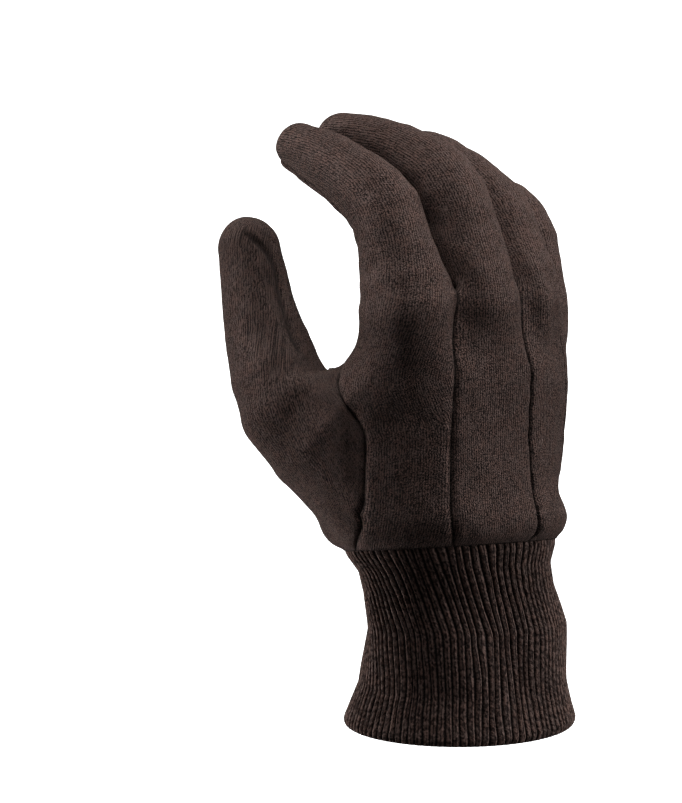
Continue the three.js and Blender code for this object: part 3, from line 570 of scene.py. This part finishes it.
# Points that may move, with the finger they belong to or -1
loose = {}
for ring in thumb_rings[1:6]:
    for pid in ring:
        loose[pid] = -1
for r in range(3, top_row + 1):
    for c in range(COLUMNS):
        held = r == top_row and c % SIDE_STEPS == 0 and c // SIDE_STEPS not in (0, 4, 5, 9)
        if not held and (r > WEB_ROW or c > 6 * SIDE_STEPS):
            loose[palm_at(r, c)] = -1
for index, rings in enumerate(finger_sheets):
    for m, ring in enumerate(rings[1:4]):
        for j, pid in enumerate(ring):
            if m > 0 or not in_crotch(index, j):
                loose[pid] = index
loose_ids = np.array([i for i in sorted(loose) if around[i] > 0])
loose_kind = np.array([loose[i] for i in loose_ids])
for _ in range(EVEN_ROUNDS):
    total = np.zeros_like(points)
    np.add.at(total, pairs[:, 0], points[pairs[:, 1]])
    centre = total[loose_ids] / around[loose_ids][:, None]
    points[loose_ids] = lay((points[loose_ids] + centre) / 2, loose_kind)


# Knit places in millimetres: sideways from a piece's middle column, and along it
def spread(grid, middle):
    """grid holds point numbers, rows by columns; returns sideways and along for each."""
    p = points[grid]
    steps = np.linalg.norm(np.diff(p, axis=1), axis=2)
    sideways = np.concatenate([np.zeros((len(grid), 1)), np.cumsum(steps, 1)], 1)
    sideways -= sideways[:, middle:middle + 1]
    rises = np.linalg.norm(np.diff(p, axis=0), axis=2)
    along = np.concatenate([np.zeros((1, grid.shape[1])), np.cumsum(rises, 0)], 0)
    return sideways, along


def palm_knit(first, last, middle):
    grid = np.array([[palm_at(r, c) for c in range(first, last + 1)] for r in range(top_row + 1)])
    return first, *spread(grid, middle - first)


# First column, sideways and along of each piece
PALM_KNIT = {
    1: palm_knit(-4, 4, 2), 2: palm_knit(4, 8, 6), 3: palm_knit(8, 12, 10),
    4: palm_knit(12, 20, 16), 0: palm_knit(20, 40, 28),
}
finger_knit = {}


def ring_knit(rings, tip, first, last, middle):
    """Knit places of columns first to last of a finger or the thumb, with the tip as last row."""
    count = len(rings[0])
    grid = np.array([[row[j % count] for j in range(first, last + 1)] for row in [*rings, [tip] * count]])
    return spread(grid, middle - first)


for index, (rings, tip) in enumerate(zip(finger_sheets, finger_tips)):
    side, along = ring_knit(rings, tip, -4, 8, 4 if index == 3 else 2)
    finger_knit[index, "back"] = (-4, side, along + PALM_KNIT[index + 1][2][top_row].mean())
    side, along = ring_knit(rings, tip, 8, 16, 10)
    first, palm_side, palm_along = PALM_KNIT[0]
    column = (8 - index) * SIDE_STEPS + 2 - first
    finger_knit[index, "front"] = (8, side + palm_side[top_row, column], along + palm_along[top_row].mean())
side, along = ring_knit(thumb_rings, thumb_tip, 3, 27, 15)
first, palm_side, palm_along = PALM_KNIT[0]
thumb_knit = (3, side + palm_side[THUMB_LOW_ROW, 37 - first], along + palm_along[THUMB_LOW_ROW].mean())


def knit_corners(piece, place, count):
    kind, row, column = place[:3]
    if kind == "palm":
        first, side, along = PALM_KNIT[piece]
        if piece == 1 and column >= 36:
            column -= COLUMNS
    elif kind == "finger":
        # The front takes in the tip's faces over it
        front = piece == 0 or 8 <= column < 12
        first, side, along = finger_knit[place[3], "front" if front else "back"]
        if not front and column >= 12:
            column -= SIDES
    else:
        first, side, along = thumb_knit
        if column < first:
            column += thumb_sides
    c = column - first
    spots = [(row, c), (row, c + 1), (row + 1, c + 1), (row + 1, c)]
    result = [(side[a, b], along[a, b]) for a, b in spots]
    if count == 3:
        tip = ((result[0][0] + result[1][0]) / 2, result[2][1])
        return [result[0], result[1], tip]
    return result


# The fine sheet: the base sheet divided smoothly, then laid back on the skin
sheet = bpy.data.meshes.new("sheet")
sheet.from_pydata([tuple(p) for p in points], [], [corners for corners, _, _ in faces])
for polygon, (_, piece, _) in zip(sheet.polygons, faces):
    polygon.material_index = piece
for _ in PIECES:
    sheet.materials.append(None)
knit_values = [value for corners, piece, place in faces for value in knit_corners(piece, place, len(corners))]
sheet.uv_layers.new(name="knit").data.foreach_set("uv", np.array(knit_values).ravel())
hold = np.zeros(len(points))
for path in crotch_points:
    hold[path] = 1
for index, rings in enumerate(finger_sheets):
    for j in range(SIDES):
        if in_crotch(index, j):
            hold[rings[0][j]] = 1
            hold[rings[1][j]] = 1
attach(sheet, "hold", "FLOAT", "POINT", hold)
on_finger = [place[3] if place[0] == "finger" and place[1] >= 1 else -1 for _, _, place in faces]
attach(sheet, "finger", "INT", "FACE", np.array(on_finger, np.int32))
LEVELS = 3
VALLEY_SHARE, VALLEY_ROUNDS = 0.6, 60
sheet_object = add_object("sheet", sheet)
divide = sheet_object.modifiers.new("divide", "SUBSURF")
divide.levels = divide.render_levels = LEVELS
divide.uv_smooth = "NONE"
depsgraph = bpy.context.evaluated_depsgraph_get()
fine = bpy.data.meshes.new_from_object(sheet_object.evaluated_get(depsgraph))
bpy.data.objects.remove(sheet_object)


def read(data, field, width, kind=float):
    values = np.zeros(len(data) * width, kind)
    data.foreach_get(field, values)
    return values.reshape(-1, width) if width > 1 else values


place = read(fine.vertices, "co", 3)
loop_vertex = read(fine.loops, "vertex_index", 1, np.int32)
face_piece = read(fine.polygons, "material_index", 1, np.int32)
face_finger = read(fine.attributes["finger"].data, "value", 1, np.int32)
hold = read(fine.attributes["hold"].data, "value", 1)
knit = read(fine.uv_layers["knit"].data, "uv", 2)
quads = loop_vertex.reshape(-1, 4)
knit = knit.reshape(-1, 4, 2)
finger_of = np.full(len(place), -1)
for index in range(4):
    finger_of[np.unique(quads[face_finger == index])] = index
laid = lay(place, finger_of)
rise = (place[:, 2] - seam_height(place[:, 0], place[:, 1])) / WRIST_ROLL
place = mix(laid, place, np.maximum(ease(hold), 1 - ease(rise))[:, None])


def relax(p, q, share, rounds):
    """Moves points towards the middle of their neighbours, each by its share."""
    a, b = q.ravel(), np.roll(q, -1, axis=1).ravel()
    ends, others = np.concatenate([a, b]), np.concatenate([b, a])
    count = np.maximum(np.bincount(ends, minlength=len(p)), 1)
    for _ in range(rounds):
        total = [np.bincount(ends, p[others, k], minlength=len(p)) for k in range(3)]
        p = mix(p, np.stack(total, 1) / count[:, None], share[:, None])
    return p


# Smooth valleys where the gaps between the fingers run out on the back of the hand
share = np.zeros(len(place))
for ends in crotch_ends:
    share = np.maximum(share, np.exp(-(np.linalg.norm(place - ends, axis=1) / VALLEY_REACH) ** 2))
place = relax(place, quads, VALLEY_SHARE * share, VALLEY_ROUNDS)

MM = 0.001
rng = np.random.default_rng(11)


def waves(p, length, seed, count=24):
    """Smooth random unevenness, about -1 to 1: a sum of waves in random directions."""
    r = np.random.default_rng(seed)
    directions = unit(r.normal(size=(count, 3)))
    lengths = length * r.uniform(0.7, 1.5, count)
    phases = r.uniform(0, 2 * math.pi, count)
    total = np.zeros(len(p))
    for direction, size, phase in zip(directions, lengths, phases):
        total += np.sin(p @ direction * (2 * math.pi / size) + phase)
    return total / math.sqrt(count)


def face_normals(p, q):
    return np.cross(p[q[:, 2]] - p[q[:, 0]], p[q[:, 3]] - p[q[:, 1]])


def vertex_normals(p, q):
    normals = face_normals(p, q)
    total = np.zeros_like(p)
    for k in range(4):
        np.add.at(total, q[:, k], normals)
    return unit(total)


def border(q):
    """Edges that only one face of q uses, with that face."""
    a, b = q.ravel(), np.roll(q, -1, axis=1).ravel()
    key = np.minimum(a, b).astype(np.int64) * (1 << 32) + np.maximum(a, b)
    _, first, count = np.unique(key, return_index=True, return_counts=True)
    single = first[count == 1]
    return a[single], b[single], single // 4


def nearest(p, targets):
    """Number of the target nearest to each point."""
    tree = KDTree(len(targets))
    for i, target in enumerate(targets):
        tree.insert(target, i)
    tree.balance()
    return [tree.find(v)[1] for v in p]


def near_distance(p, targets):
    return np.linalg.norm(p - targets[nearest(p, targets)], axis=1)


def beside_line(p, normals, line):
    """Distance of each point from a line, measured along the sheet."""
    away = p - line[nearest(p, line)]
    return np.linalg.norm(away - normals * (away * normals).sum(1)[:, None], axis=1)


def polyline(rows, step=0.5):
    rows = np.array(rows)
    result = []
    for a, b in zip(rows[:-1], rows[1:]):
        count = max(int(np.linalg.norm(b - a) / step), 1)
        result += [mix(a, b, i / count) for i in range(count)]
    return np.array(result + [rows[-1]])


# Finer folds of the cloth: name, points along each, width and height in millimetres
SMALL_FOLDS = [
    ("thumb seam", [
        (-0.529, 1.112, 1.271), (-0.515, 1.055, 1.248), (-0.493, 1.006, 1.212), (-0.476, 0.969, 1.172),
        (-0.467, 0.934, 1.133), (-0.467, 0.9, 1.095), (-0.473, 0.861, 1.053), (-0.479, 0.82, 1.011),
        (-0.485, 0.769, 0.966), (-0.49, 0.709, 0.917), (-0.492, 0.643, 0.868), (-0.491, 0.576, 0.823),
    ], 0.5, -0.6),
    ("hollow at the foot of the thumb seam", [
        (-0.471, 0.879, 1.072), (-0.479, 0.82, 1.011), (-0.489, 0.734, 0.936), (-0.493, 0.653, 0.876),
        (-0.491, 0.588, 0.831),
    ], 1.4, -0.3),
    ("crease under the index tip", [(-0.315, 1.191, 1.564), (-0.333, 0.934, 1.552)], 2.6, -0.35),
    ("index knuckle", [(-0.197, 0.045, 1.466), (-0.107, 0.12, 1.366)], 3.5, 0.5),
    ("base of the thumb", [(-0.574, 0.444, 0.715), (-0.516, 0.241, 0.679)], 3.0, 0.7),
    ("thumb side of the first seam", [(-0.489, -0.039, 0.585), (-0.496, -0.092, 0.336)], 2.2, -0.7),
]
FOLD_LINES = [settle(polyline([hand_point(*row) for row in rows]), skin) for _, rows, _, _ in SMALL_FOLDS]
sheet_normals = vertex_normals(place, quads)
# Unevenness of the cloth: height and length of each wave, and its seed
CLOTH_WAVES = [(0.3, 26, 3), (0.14, 11, 5), (0.04, 4.5, 7)]
# A seam's groove, the wide dip round it and the lip beside it: height, distance from the seam, width
SEAM_FORMS = [(-0.85, 0, 0.7), (-0.16, 0, 3.0), (0.1, 2.6, 1.3)]
PUCKER_HEIGHT, PUCKER_LENGTH, PUCKER_SEED, PUCKER_PLACE, PUCKER_WIDTH = 0.14, 6.0, 9, 1.5, 2.0
FOLD_FLOOR, FOLD_SEARCH, WRIST_FADE = 0.6, 8, 3
# The painted shadow line of the thumb's seam: share of the real distance, and how far from the fold it is
# looked for
THUMB_SEAM_SHARE, THUMB_SEAM_SEARCH, FAR = 0.6, 6, 99
EDGE_BACK, INNER_EDGE_BACK = 0.06, 0.5


def bell(distance, width):
    return np.exp(-(distance / width) ** 2)


def cloth_height(p, normals, distance):
    """How far the cloth stands off the plain skin, in millimetres."""
    height = sum(size * waves(p, length, seed) for size, length, seed in CLOTH_WAVES)
    height += sum(size * bell(distance - from_seam, width) for size, from_seam, width in SEAM_FORMS)
    pucker = PUCKER_HEIGHT * waves(p, PUCKER_LENGTH, PUCKER_SEED)
    height += pucker * bell(distance - PUCKER_PLACE, PUCKER_WIDTH)
    for (_, _, width, size), line in zip(SMALL_FOLDS, FOLD_LINES):
        close = np.flatnonzero(((p > line.min(0) - FOLD_SEARCH) & (p < line.max(0) + FOLD_SEARCH)).all(1))
        if len(close):
            away = beside_line(p[close], normals[close], line)
            height[close] += size * bell(np.maximum(away - FOLD_FLOOR, 0), width)
    return height * ease((p[:, 2] - seam_height(p[:, 0], p[:, 1])) / WRIST_FADE)


def make_object(name, vertices, polygons, knit_uv, values, material):
    """vertices are in millimetres, knit_uv has a pair for each corner, values are point attributes."""
    mesh = bpy.data.meshes.new(name)
    mesh.from_pydata((vertices * MM).tolist(), [], polygons)
    mesh.uv_layers.new(name="knit").data.foreach_set("uv", np.asarray(knit_uv, np.float32).ravel())
    for key, data in values.items():
        attach(mesh, key, "FLOAT", "POINT", np.asarray(data, np.float32))
    mesh.shade_smooth()
    mesh.materials.append(material)
    mesh.validate()
    return add_object(name, mesh)


def build_panel(piece, material):
    """A sewn piece of the sheet with its outer face, inner face and the rim between them."""
    mask = face_piece == piece
    own, own_knit = quads[mask], knit[mask]
    used = np.unique(own)
    a, b, face = border(own)
    ends = np.unique(np.concatenate([a, b]))
    plain, normals = place[used], sheet_normals[used]
    distance = near_distance(plain, place[ends])
    p = place.copy()
    p[used] += normals * cloth_height(plain, normals, distance)[:, None]
    face_direction = unit(face_normals(place, own))
    inward = unit(np.cross(face_direction[face], place[b] - place[a]))
    back = np.zeros_like(place)
    np.add.at(back, a, inward)
    np.add.at(back, b, inward)
    p[ends] += unit(back[ends]) * EDGE_BACK
    inner = p.copy()
    inner[used] -= normals * JERSEY_WALL
    inner[ends] += unit(back[ends]) * INNER_EDGE_BACK
    number = np.full(len(place), -1)
    number[used] = np.arange(len(used))
    count = len(used)
    outer_faces = number[own]
    inner_faces = number[own][:, ::-1] + count
    rim_faces = np.stack([number[b], number[a], number[a] + count, number[b] + count], 1)
    polygons = np.concatenate([outer_faces, inner_faces, rim_faces])
    rim_knit = np.zeros((len(rim_faces), 4, 2))
    uv = np.concatenate([own_knit, own_knit[:, ::-1], rim_knit])
    vertices = np.concatenate([p[used], inner[used]])
    beside_seam = distance
    if piece == 0:
        thumb_seam = beside_line(plain, normals, FOLD_LINES[0]) * THUMB_SEAM_SHARE
        far = near_distance(plain, FOLD_LINES[0]) > THUMB_SEAM_SEARCH
        beside_seam = np.minimum(distance, np.where(far, FAR, thumb_seam))
    values = {"seam": np.concatenate([beside_seam, distance])}
    return make_object(f"soft_{PIECES[piece]}", vertices, polygons.tolist(), uv, values, material)


RIB_COLUMNS, CUFF_LEVELS, TURN_LEVELS, LINING_LEVELS = ((8, 78, 8, 26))
# Shares of the height where the mouth turns and where the top is tucked in under the panels
TURN_HEIGHT, TUCK_START, TUCK = 0.03, 0.97, 0.4
SWELL, SMALL_SWELL, SWELL_END = 0.5, 0.3, 0.94
RIB_ROUNDNESS, GROOVE_SHARE, RIB_BANDS = 0.8, 1.4, 6
RIB_UNEVEN, RIB_WANDER = (0.75, 1.25), 0.13
# The thumb side of the cuff, where the ribs twist most
TWIST_MEAN, TWIST_SWING, TWIST_ANGLE = 0.75, 0.8, 228


def grid_corners(values, wrap=0):
    """Corners of the faces of a closed grid, with wrap added past its last column."""
    following = np.roll(values, -1, axis=1)
    following[:, -1] += np.array(wrap, values.dtype)
    return np.stack([values, np.roll(values, -1, axis=0), np.roll(following, -1, axis=0), following], 2)


def build_cuff(material):
    """The ribbed cuff, knitted double with its fold at the mouth."""
    around = RIB_COUNT * RIB_COLUMNS
    spot = np.arange(around) * RIB_COUNT / around
    rib_number = np.arange(around) * RIB_COUNT // around
    ridge = np.abs(np.cos(math.pi * (spot % 1.0))) ** RIB_ROUNDNESS
    rib_depths = rng.uniform(*RIB_UNEVEN, (RIB_BANDS + 1, RIB_COUNT))
    rib_shifts = rng.normal(0, RIB_WANDER, (RIB_BANDS + 1, RIB_COUNT)) * 2 * math.pi / RIB_COUNT
    heights = [row[0] for row in CUFF_ROWS]
    thick = RIB_DEPTH + CUFF_WALL
    # Height, inset and share of the rib's depth of each row, from the seam down and up again inside
    profile = [(1 - i / (CUFF_LEVELS - 1) * (1 - TURN_HEIGHT), 0.0, 1.0) for i in range(CUFF_LEVELS)]
    for i in range(1, TURN_LEVELS + 1):
        turn = math.pi * i / (TURN_LEVELS + 1)
        profile.append((TURN_HEIGHT - TURN_HEIGHT * math.sin(turn), thick / 2 * (1 - math.cos(turn)), 1.0))
    for i in range(LINING_LEVELS):
        profile.append((TURN_HEIGHT + (1 - TURN_HEIGHT) * i / (LINING_LEVELS - 1), thick, 0.5))
    # The sewn edge turned up inside the hand
    profile += [(1.03, thick, 0.5), (1.03, thick / 2, 0.5), (1.005, thick / 2, 0.5)]
    angles = np.arange(around) / around * 2 * math.pi
    vertices, uvs = [], []
    travelled = 0.0
    for k, (height, inset, share) in enumerate(profile):
        width = np.interp(height, heights, CUFF_ROWS[:, 1]) * CUFF_WIDTH / 2
        depth = np.interp(height, heights, CUFF_ROWS[:, 2]) * CUFF_DEPTH / 2
        shift_x = np.interp(height, heights, CUFF_ROWS[:, 3]) * CUFF_WIDTH
        shift_y = np.interp(height, heights, CUFF_ROWS[:, 4]) * CUFF_DEPTH
        level = min(int(height * RIB_BANDS), RIB_BANDS - 1)
        depths, shifts = (
            mix(rows[level], rows[level + 1], height * RIB_BANDS - level) for rows in (rib_depths, rib_shifts)
        )
        shift = np.interp(spot, np.arange(RIB_COUNT + 1), np.append(shifts, shifts[0]))
        twist = math.radians(np.interp(height, TWIST_HEIGHTS, TWISTS))
        twist = twist * (TWIST_MEAN - TWIST_SWING * np.sin(angles - math.radians(TWIST_ANGLE)))
        wobble = 0.006 * np.sin(angles * 7 + height * 5) + 0.004 * np.sin(angles * 17 - height * 9)
        t = angles + twist + wobble * (0.3 + height) + shift
        groove = RIB_DEPTH * GROOVE_SHARE * (1 - ridge) * depths[rib_number] * share
        swell = SWELL * np.sin(3 * t + 4 * height + 1) * math.sin(math.pi * height)
        swell += SMALL_SWELL * np.sin(7 * t + 9 * height)
        swell *= math.sin(math.pi * height / SWELL_END) if height < SWELL_END else 0
        turn = inset / thick if height <= 1 else 1
        away = swell - inset - groove * math.cos(math.pi * turn)
        x = shift_x + (width + away) * np.cos(t)
        y = shift_y + (depth + away) * np.sin(t)
        top = seam_height(x, y) - SEAM_GAP / 2
        mouth = MOUTH_SLOPE_X * x + MOUTH_SLOPE_Y * y
        z = mix(mouth, top, height)
        if inset == 0 and height > TUCK_START:
            tuck = TUCK * (height - TUCK_START) / (1 - TUCK_START)
            x -= np.cos(t) * tuck
            y -= np.sin(t) * tuck
        vertices.append(np.stack([x, y, z], 1))
        if k:
            travelled += float(np.linalg.norm(vertices[-1] - vertices[-2], axis=1).mean())
        uvs.append(np.stack([spot, np.full(around, travelled)], 1))
    grid = np.arange(len(profile) * around).reshape(len(profile), around)
    polygons = grid_corners(grid).reshape(-1, 4).tolist()
    corners = grid_corners(np.array(uvs), (RIB_COUNT, 0)).reshape(-1, 4, 2)
    values = {"rib": np.tile(ridge, len(profile))}
    return make_object("soft_knit_cuff", np.concatenate(vertices), polygons, corners, values, material)


# Materials
class Nodes:
    """Nodes of a material or of the world, and its shader."""

    def __init__(self, owner, shader="Principled BSDF"):
        owner.use_nodes = True
        self.owner, self.tree = owner, owner.node_tree
        self.shader = self.tree.nodes[shader]

    def put(self, socket, value):
        if hasattr(value, "is_output"):
            self.tree.links.new(value, socket)
        elif value is not None:
            socket.default_value = value

    def finish(self, values):
        for key, value in values.items():
            self.put(self.shader.inputs[key], value)

    def node(self, kind, inputs=(), out=0, **settings):
        made = self.tree.nodes.new(kind)
        for key, value in settings.items():
            setattr(made, key, value)
        for key, value in dict(inputs).items():
            self.put(made.inputs[key], value)
        return made.outputs[out]

    def math(self, operation, a, b=None, c=None):
        return self.node("ShaderNodeMath", {0: a, 1: b, 2: c}, operation=operation)

    def ramp(self, value, low, high):
        inputs = {"Value": value, "From Min": low, "From Max": high, "To Min": 0.0, "To Max": 1.0}
        return self.node("ShaderNodeMapRange", inputs, interpolation_type="SMOOTHSTEP")

    def noise(self, scale, detail=2.0, vector=None):
        inputs = {"Scale": scale, "Detail": detail, "Roughness": 0.6}
        if vector is not None:
            inputs["Vector"] = vector
        return self.node("ShaderNodeTexNoise", inputs)

    def blend(self, share, a, b, kind="MIX"):
        made = self.tree.nodes.new("ShaderNodeMix")
        made.data_type = "RGBA"
        made.blend_type = kind
        self.put(made.inputs[0], share)
        self.put(made.inputs[6], a)
        self.put(made.inputs[7], b)
        return made.outputs[2]

    def value(self, name):
        return self.node("ShaderNodeAttribute", out=2, attribute_name=name)

    def random(self, x, y=None):
        cell = self.node("ShaderNodeCombineXYZ", {0: x, 1: y})
        return self.node("ShaderNodeTexWhiteNoise", {"Vector": cell}, noise_dimensions="2D")

    def total(self, *weighted):
        """Sum of values, each times its weight."""
        (value, weight), *others = weighted
        result = self.math("MULTIPLY", value, weight)
        for value, weight in others:
            result = self.math("MULTIPLY_ADD", value, weight, result)
        return result


# Stitch width and height in millimetres, drift of the columns, squeeze of streaks along them, shares of loop,
# stitch and nap in the shade, range of the shade, relief of the stitches and in metres of all, colours
KNITS = {
    "jersey": {
        "wale": 0.84, "course": 0.9, "drift": 1.1, "squeeze": 0.75, "loop": 0.4, "stitch": 0.24, "nap": 0.26,
        "shade": (0.54, 0.78), "stitch_relief": 0.7, "relief": 0.00046,
        "dark": (0.008, 0.0044, 0.0036, 1), "light": (0.135, 0.0858, 0.075, 1),
    },
    "rib_knit": {
        "wale": 0.5, "course": 1.0, "drift": 0.4, "squeeze": 0.28, "loop": 0.12, "stitch": 0.1, "nap": 0.15,
        "shade": (0.32, 0.84), "stitch_relief": 0.2, "relief": 0.0003,
        "dark": (0.011, 0.006, 0.005, 1), "light": (0.135, 0.087, 0.0755, 1),
    },
}
LINT = (0.16, 0.13, 0.11, 1)
WARM, COOL = (1.0, 0.94, 0.9, 1), (0.97, 1.0, 1.0, 1)
SURFACE = {
    "Roughness": 0.95, "Specular IOR Level": 0.12, "Sheen Weight": 0.1, "Sheen Roughness": 0.35,
    "Sheen Tint": (0.85, 0.62, 0.54, 1),
}
SHADOW_SHARE, SEAM_SHADOW, SEAM_SHADOW_WIDTH, RIB_SHADOW = 0.4, 0.8, 1.1, (0.3, 0.95)


def cloth(name):
    look = KNITS[name]
    n = Nodes(bpy.data.materials.new(name))
    spot = n.node("ShaderNodeTexCoord", out=3)
    uv = n.node("ShaderNodeUVMap", uv_map="knit")
    u = n.node("ShaderNodeSeparateXYZ", {0: uv})
    v = n.node("ShaderNodeSeparateXYZ", {0: uv}, 1)
    # Columns of stitches that wander a little, each with two slanted legs of their own brightness
    drift = n.math("MULTIPLY", n.math("SUBTRACT", n.noise(300.0, 2.0, spot), 0.5), look["drift"])
    column = n.math("ADD", n.math("DIVIDE", u, look["wale"]), drift)
    leg = n.math("ABSOLUTE", n.math("SUBTRACT", n.math("FRACT", column), 0.5))
    offset = n.random(n.math("FLOOR", column))
    row = n.math("ADD", n.math("DIVIDE", v, look["course"]), n.math("MULTIPLY", offset, 7.0))
    row = n.math("MULTIPLY_ADD", leg, 1.2, row)
    half = n.math("FLOOR", n.math("MULTIPLY", column, 2.0))
    stitch = n.random(half, n.math("FLOOR", row))
    crown = n.math("SUBTRACT", 1.0, n.math("MULTIPLY", n.math("MULTIPLY", leg, leg), 4.0))
    loop = n.math("SINE", n.math("MULTIPLY", n.math("FRACT", row), math.pi))
    loop = n.math("MULTIPLY_ADD", loop, look["loop"], 1 - look["loop"])
    crown = n.math("MULTIPLY", crown, loop)
    along = n.node("ShaderNodeCombineXYZ", {0: u, 1: n.math("MULTIPLY", v, look["squeeze"])})
    streak = n.ramp(n.noise(2.6, 1.0, along), 0.36, 0.64)
    nap = n.ramp(n.noise(2600.0, 2.0, spot), 0.3, 0.7)
    tuft = n.ramp(n.noise(900.0, 2.0, spot), 0.3, 0.7)
    mottle = n.ramp(n.noise(120.0, 3.0, spot), 0.3, 0.7)
    shade = n.total((streak, 0.3), (mottle, 0.05), (stitch, look["stitch"]),
                    (crown, 0.36), (nap, look["nap"]), (tuft, 0.05))
    base = n.blend(n.ramp(shade, *look["shade"]), look["dark"], look["light"])
    hue = n.ramp(n.noise(300.0, 1.0, spot), 0.35, 0.65)
    base = n.blend(1.0, base, n.blend(hue, WARM, COOL), "MULTIPLY")
    shadow = tuple(c * SHADOW_SHARE for c in look["dark"][:3]) + (1,)
    if name == "rib_knit":
        deep = n.ramp(n.math("MULTIPLY_ADD", tuft, 0.2, n.value("rib")), *RIB_SHADOW)
        base = n.blend(n.math("SUBTRACT", 1.0, deep), base, shadow)
    else:
        deep = n.ramp(n.value("seam"), 0.0, SEAM_SHADOW_WIDTH)
        base = n.blend(n.math("MULTIPLY_ADD", deep, -SEAM_SHADOW, SEAM_SHADOW), base, shadow)
    fleck = n.ramp(n.noise(1300.0, 0.0, spot), 0.8, 0.86)
    fleck = n.math("MULTIPLY", fleck, n.math("MULTIPLY", mottle, 0.35))
    base = n.blend(fleck, base, LINT)
    height = n.total((crown, 0.9), (streak, 0.9), (stitch, look["stitch_relief"]), (tuft, 0.2), (nap, 0.25))
    bump = n.node("ShaderNodeBump", {"Strength": 1.0, "Distance": look["relief"], "Height": height})
    n.finish({**SURFACE, "Base Color": base, "Normal": bump})
    return n.owner


jersey, rib_knit = cloth("jersey"), cloth("rib_knit")
for piece, name in enumerate(PIECES):
    panel = build_panel(piece, jersey)
    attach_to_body(panel, "root")
    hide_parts(name)
cuff = build_cuff(rib_knit)
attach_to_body(cuff, "root")
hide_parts("knit_cuff")

# Pale sweep, soft lights and camera, which looks from the photograph's side
CAMERA_AZIMUTH, CAMERA_ELEVATION, CAMERA_ROLL, CAMERA_DISTANCE = -42, 14, -0.4, 1.0
FLOOR, SWEEP_FRONT, SWEEP_BACK, SWEEP_CURVE, SWEEP_TOP, SWEEP_HALF_WIDTH = -0.3, -2.4, 0.9, 0.6, 3.0, 3.0
WHITE, PALE, PALE_LIGHT, GREY = (1, 1, 1, 1), (0.86, 0.86, 0.86, 1), (0.9, 0.9, 0.9, 1), (0.1, 0.1, 0.1, 1)


def direction_from(azimuth, elevation):
    a, e = math.radians(azimuth), math.radians(elevation)
    return Vector((math.sin(a) * math.cos(e), -math.cos(a) * math.cos(e), math.sin(e)))


towards = np.array(direction_from(CAMERA_AZIMUTH, 0))[:2]
side = np.array([-towards[1], towards[0]])
line = [(SWEEP_FRONT, FLOOR), (SWEEP_BACK, FLOOR)]
for a in np.linspace(0.1, math.pi / 2, 12):
    line.append((SWEEP_BACK + SWEEP_CURVE * math.sin(a), FLOOR + SWEEP_CURVE * (1 - math.cos(a))))
line.append((SWEEP_BACK + SWEEP_CURVE, SWEEP_TOP))
edges = (-SWEEP_HALF_WIDTH, SWEEP_HALF_WIDTH)
floor_points = [(*(-towards * d + side * w), z) for d, z in line for w in edges]
floor_faces = [(2 * i, 2 * i + 1, 2 * i + 3, 2 * i + 2) for i in range(len(line) - 1)]
floor_mesh = bpy.data.meshes.new("sweep")
floor_mesh.from_pydata(floor_points, [], floor_faces)
floor_mesh.shade_smooth()
sweep = Nodes(bpy.data.materials.new("pale_sweep"))
seen = sweep.node("ShaderNodeLightPath")
tone = sweep.blend(sweep.noise(3.0, 2.0), PALE, PALE_LIGHT)
# The sweep looks pale and throws little light back up
tone = sweep.blend(seen, GREY, tone)
sweep.finish({"Base Color": tone, "Roughness": 0.9, "Emission Color": WHITE, "Emission Strength": seen})
floor_mesh.materials.append(sweep.owner)
add_object("sweep", floor_mesh)


def soft_light(name, azimuth, elevation, distance, size, power, aim_at=(0, 0.01, 0.1)):
    """azimuth in degrees from the camera's, to its right when positive."""
    away = direction_from(CAMERA_AZIMUTH + azimuth, elevation)
    data = bpy.data.lights.new(name, "AREA")
    data.shape = "DISK"
    data.size = size
    data.energy = power
    lamp = add_object(name, data)
    lamp.location = Vector(aim_at) + away * distance
    lamp.rotation_mode = "QUATERNION"
    lamp.rotation_quaternion = (-away).to_track_quat("-Z", "Y")


soft_light("top", 0, 89, 1.6, 1.1, 42)
soft_light("right", 98, 8, 1.3, 0.7, 17, (0, 0.01, 0.14))
soft_light("left", -98, -3, 1.3, 0.7, 24, (0, 0.01, 0.02))
# The world looks white and gives a little light from all round
WORLD_LIGHT = 0.06
world = Nodes(bpy.data.worlds.new("world"), "Background")
seen = world.node("ShaderNodeLightPath")
strength = world.math("MULTIPLY_ADD", seen, 1 - WORLD_LIGHT, WORLD_LIGHT)
world.finish({"Color": WHITE, "Strength": strength})
bpy.context.scene.world = world.owner

# In pixels of the photograph: the lens, the middle and height of the picture, and where the origin lies in it
FOCAL, MIDDLE_X, MIDDLE_Y, PICTURE_HEIGHT, ORIGIN_X, ORIGIN_Y = 3120, 341, 401.5, 803, 457, 721.8
camera_data = bpy.data.cameras.new("camera")
camera_data.sensor_width = 36
camera_data.lens = FOCAL * camera_data.sensor_width / PICTURE_HEIGHT
camera_data.clip_start, camera_data.clip_end = 0.02, 20
camera = add_object("camera", camera_data)
back = direction_from(CAMERA_AZIMUTH, CAMERA_ELEVATION)
right = direction_from(CAMERA_AZIMUTH + 90, 0)
up = back.cross(right)
ray = (-back * FOCAL + right * (MIDDLE_X - ORIGIN_X) + up * (ORIGIN_Y - MIDDLE_Y)).normalized()
camera.location = back * CAMERA_DISTANCE
camera.rotation_mode = "QUATERNION"
roll = Quaternion((0, 0, 1), math.radians(CAMERA_ROLL))
camera.rotation_quaternion = ray.to_track_quat("-Z", "Y") @ roll
bpy.context.scene.camera = camera
bpy.context.scene.view_settings.view_transform = "Standard"
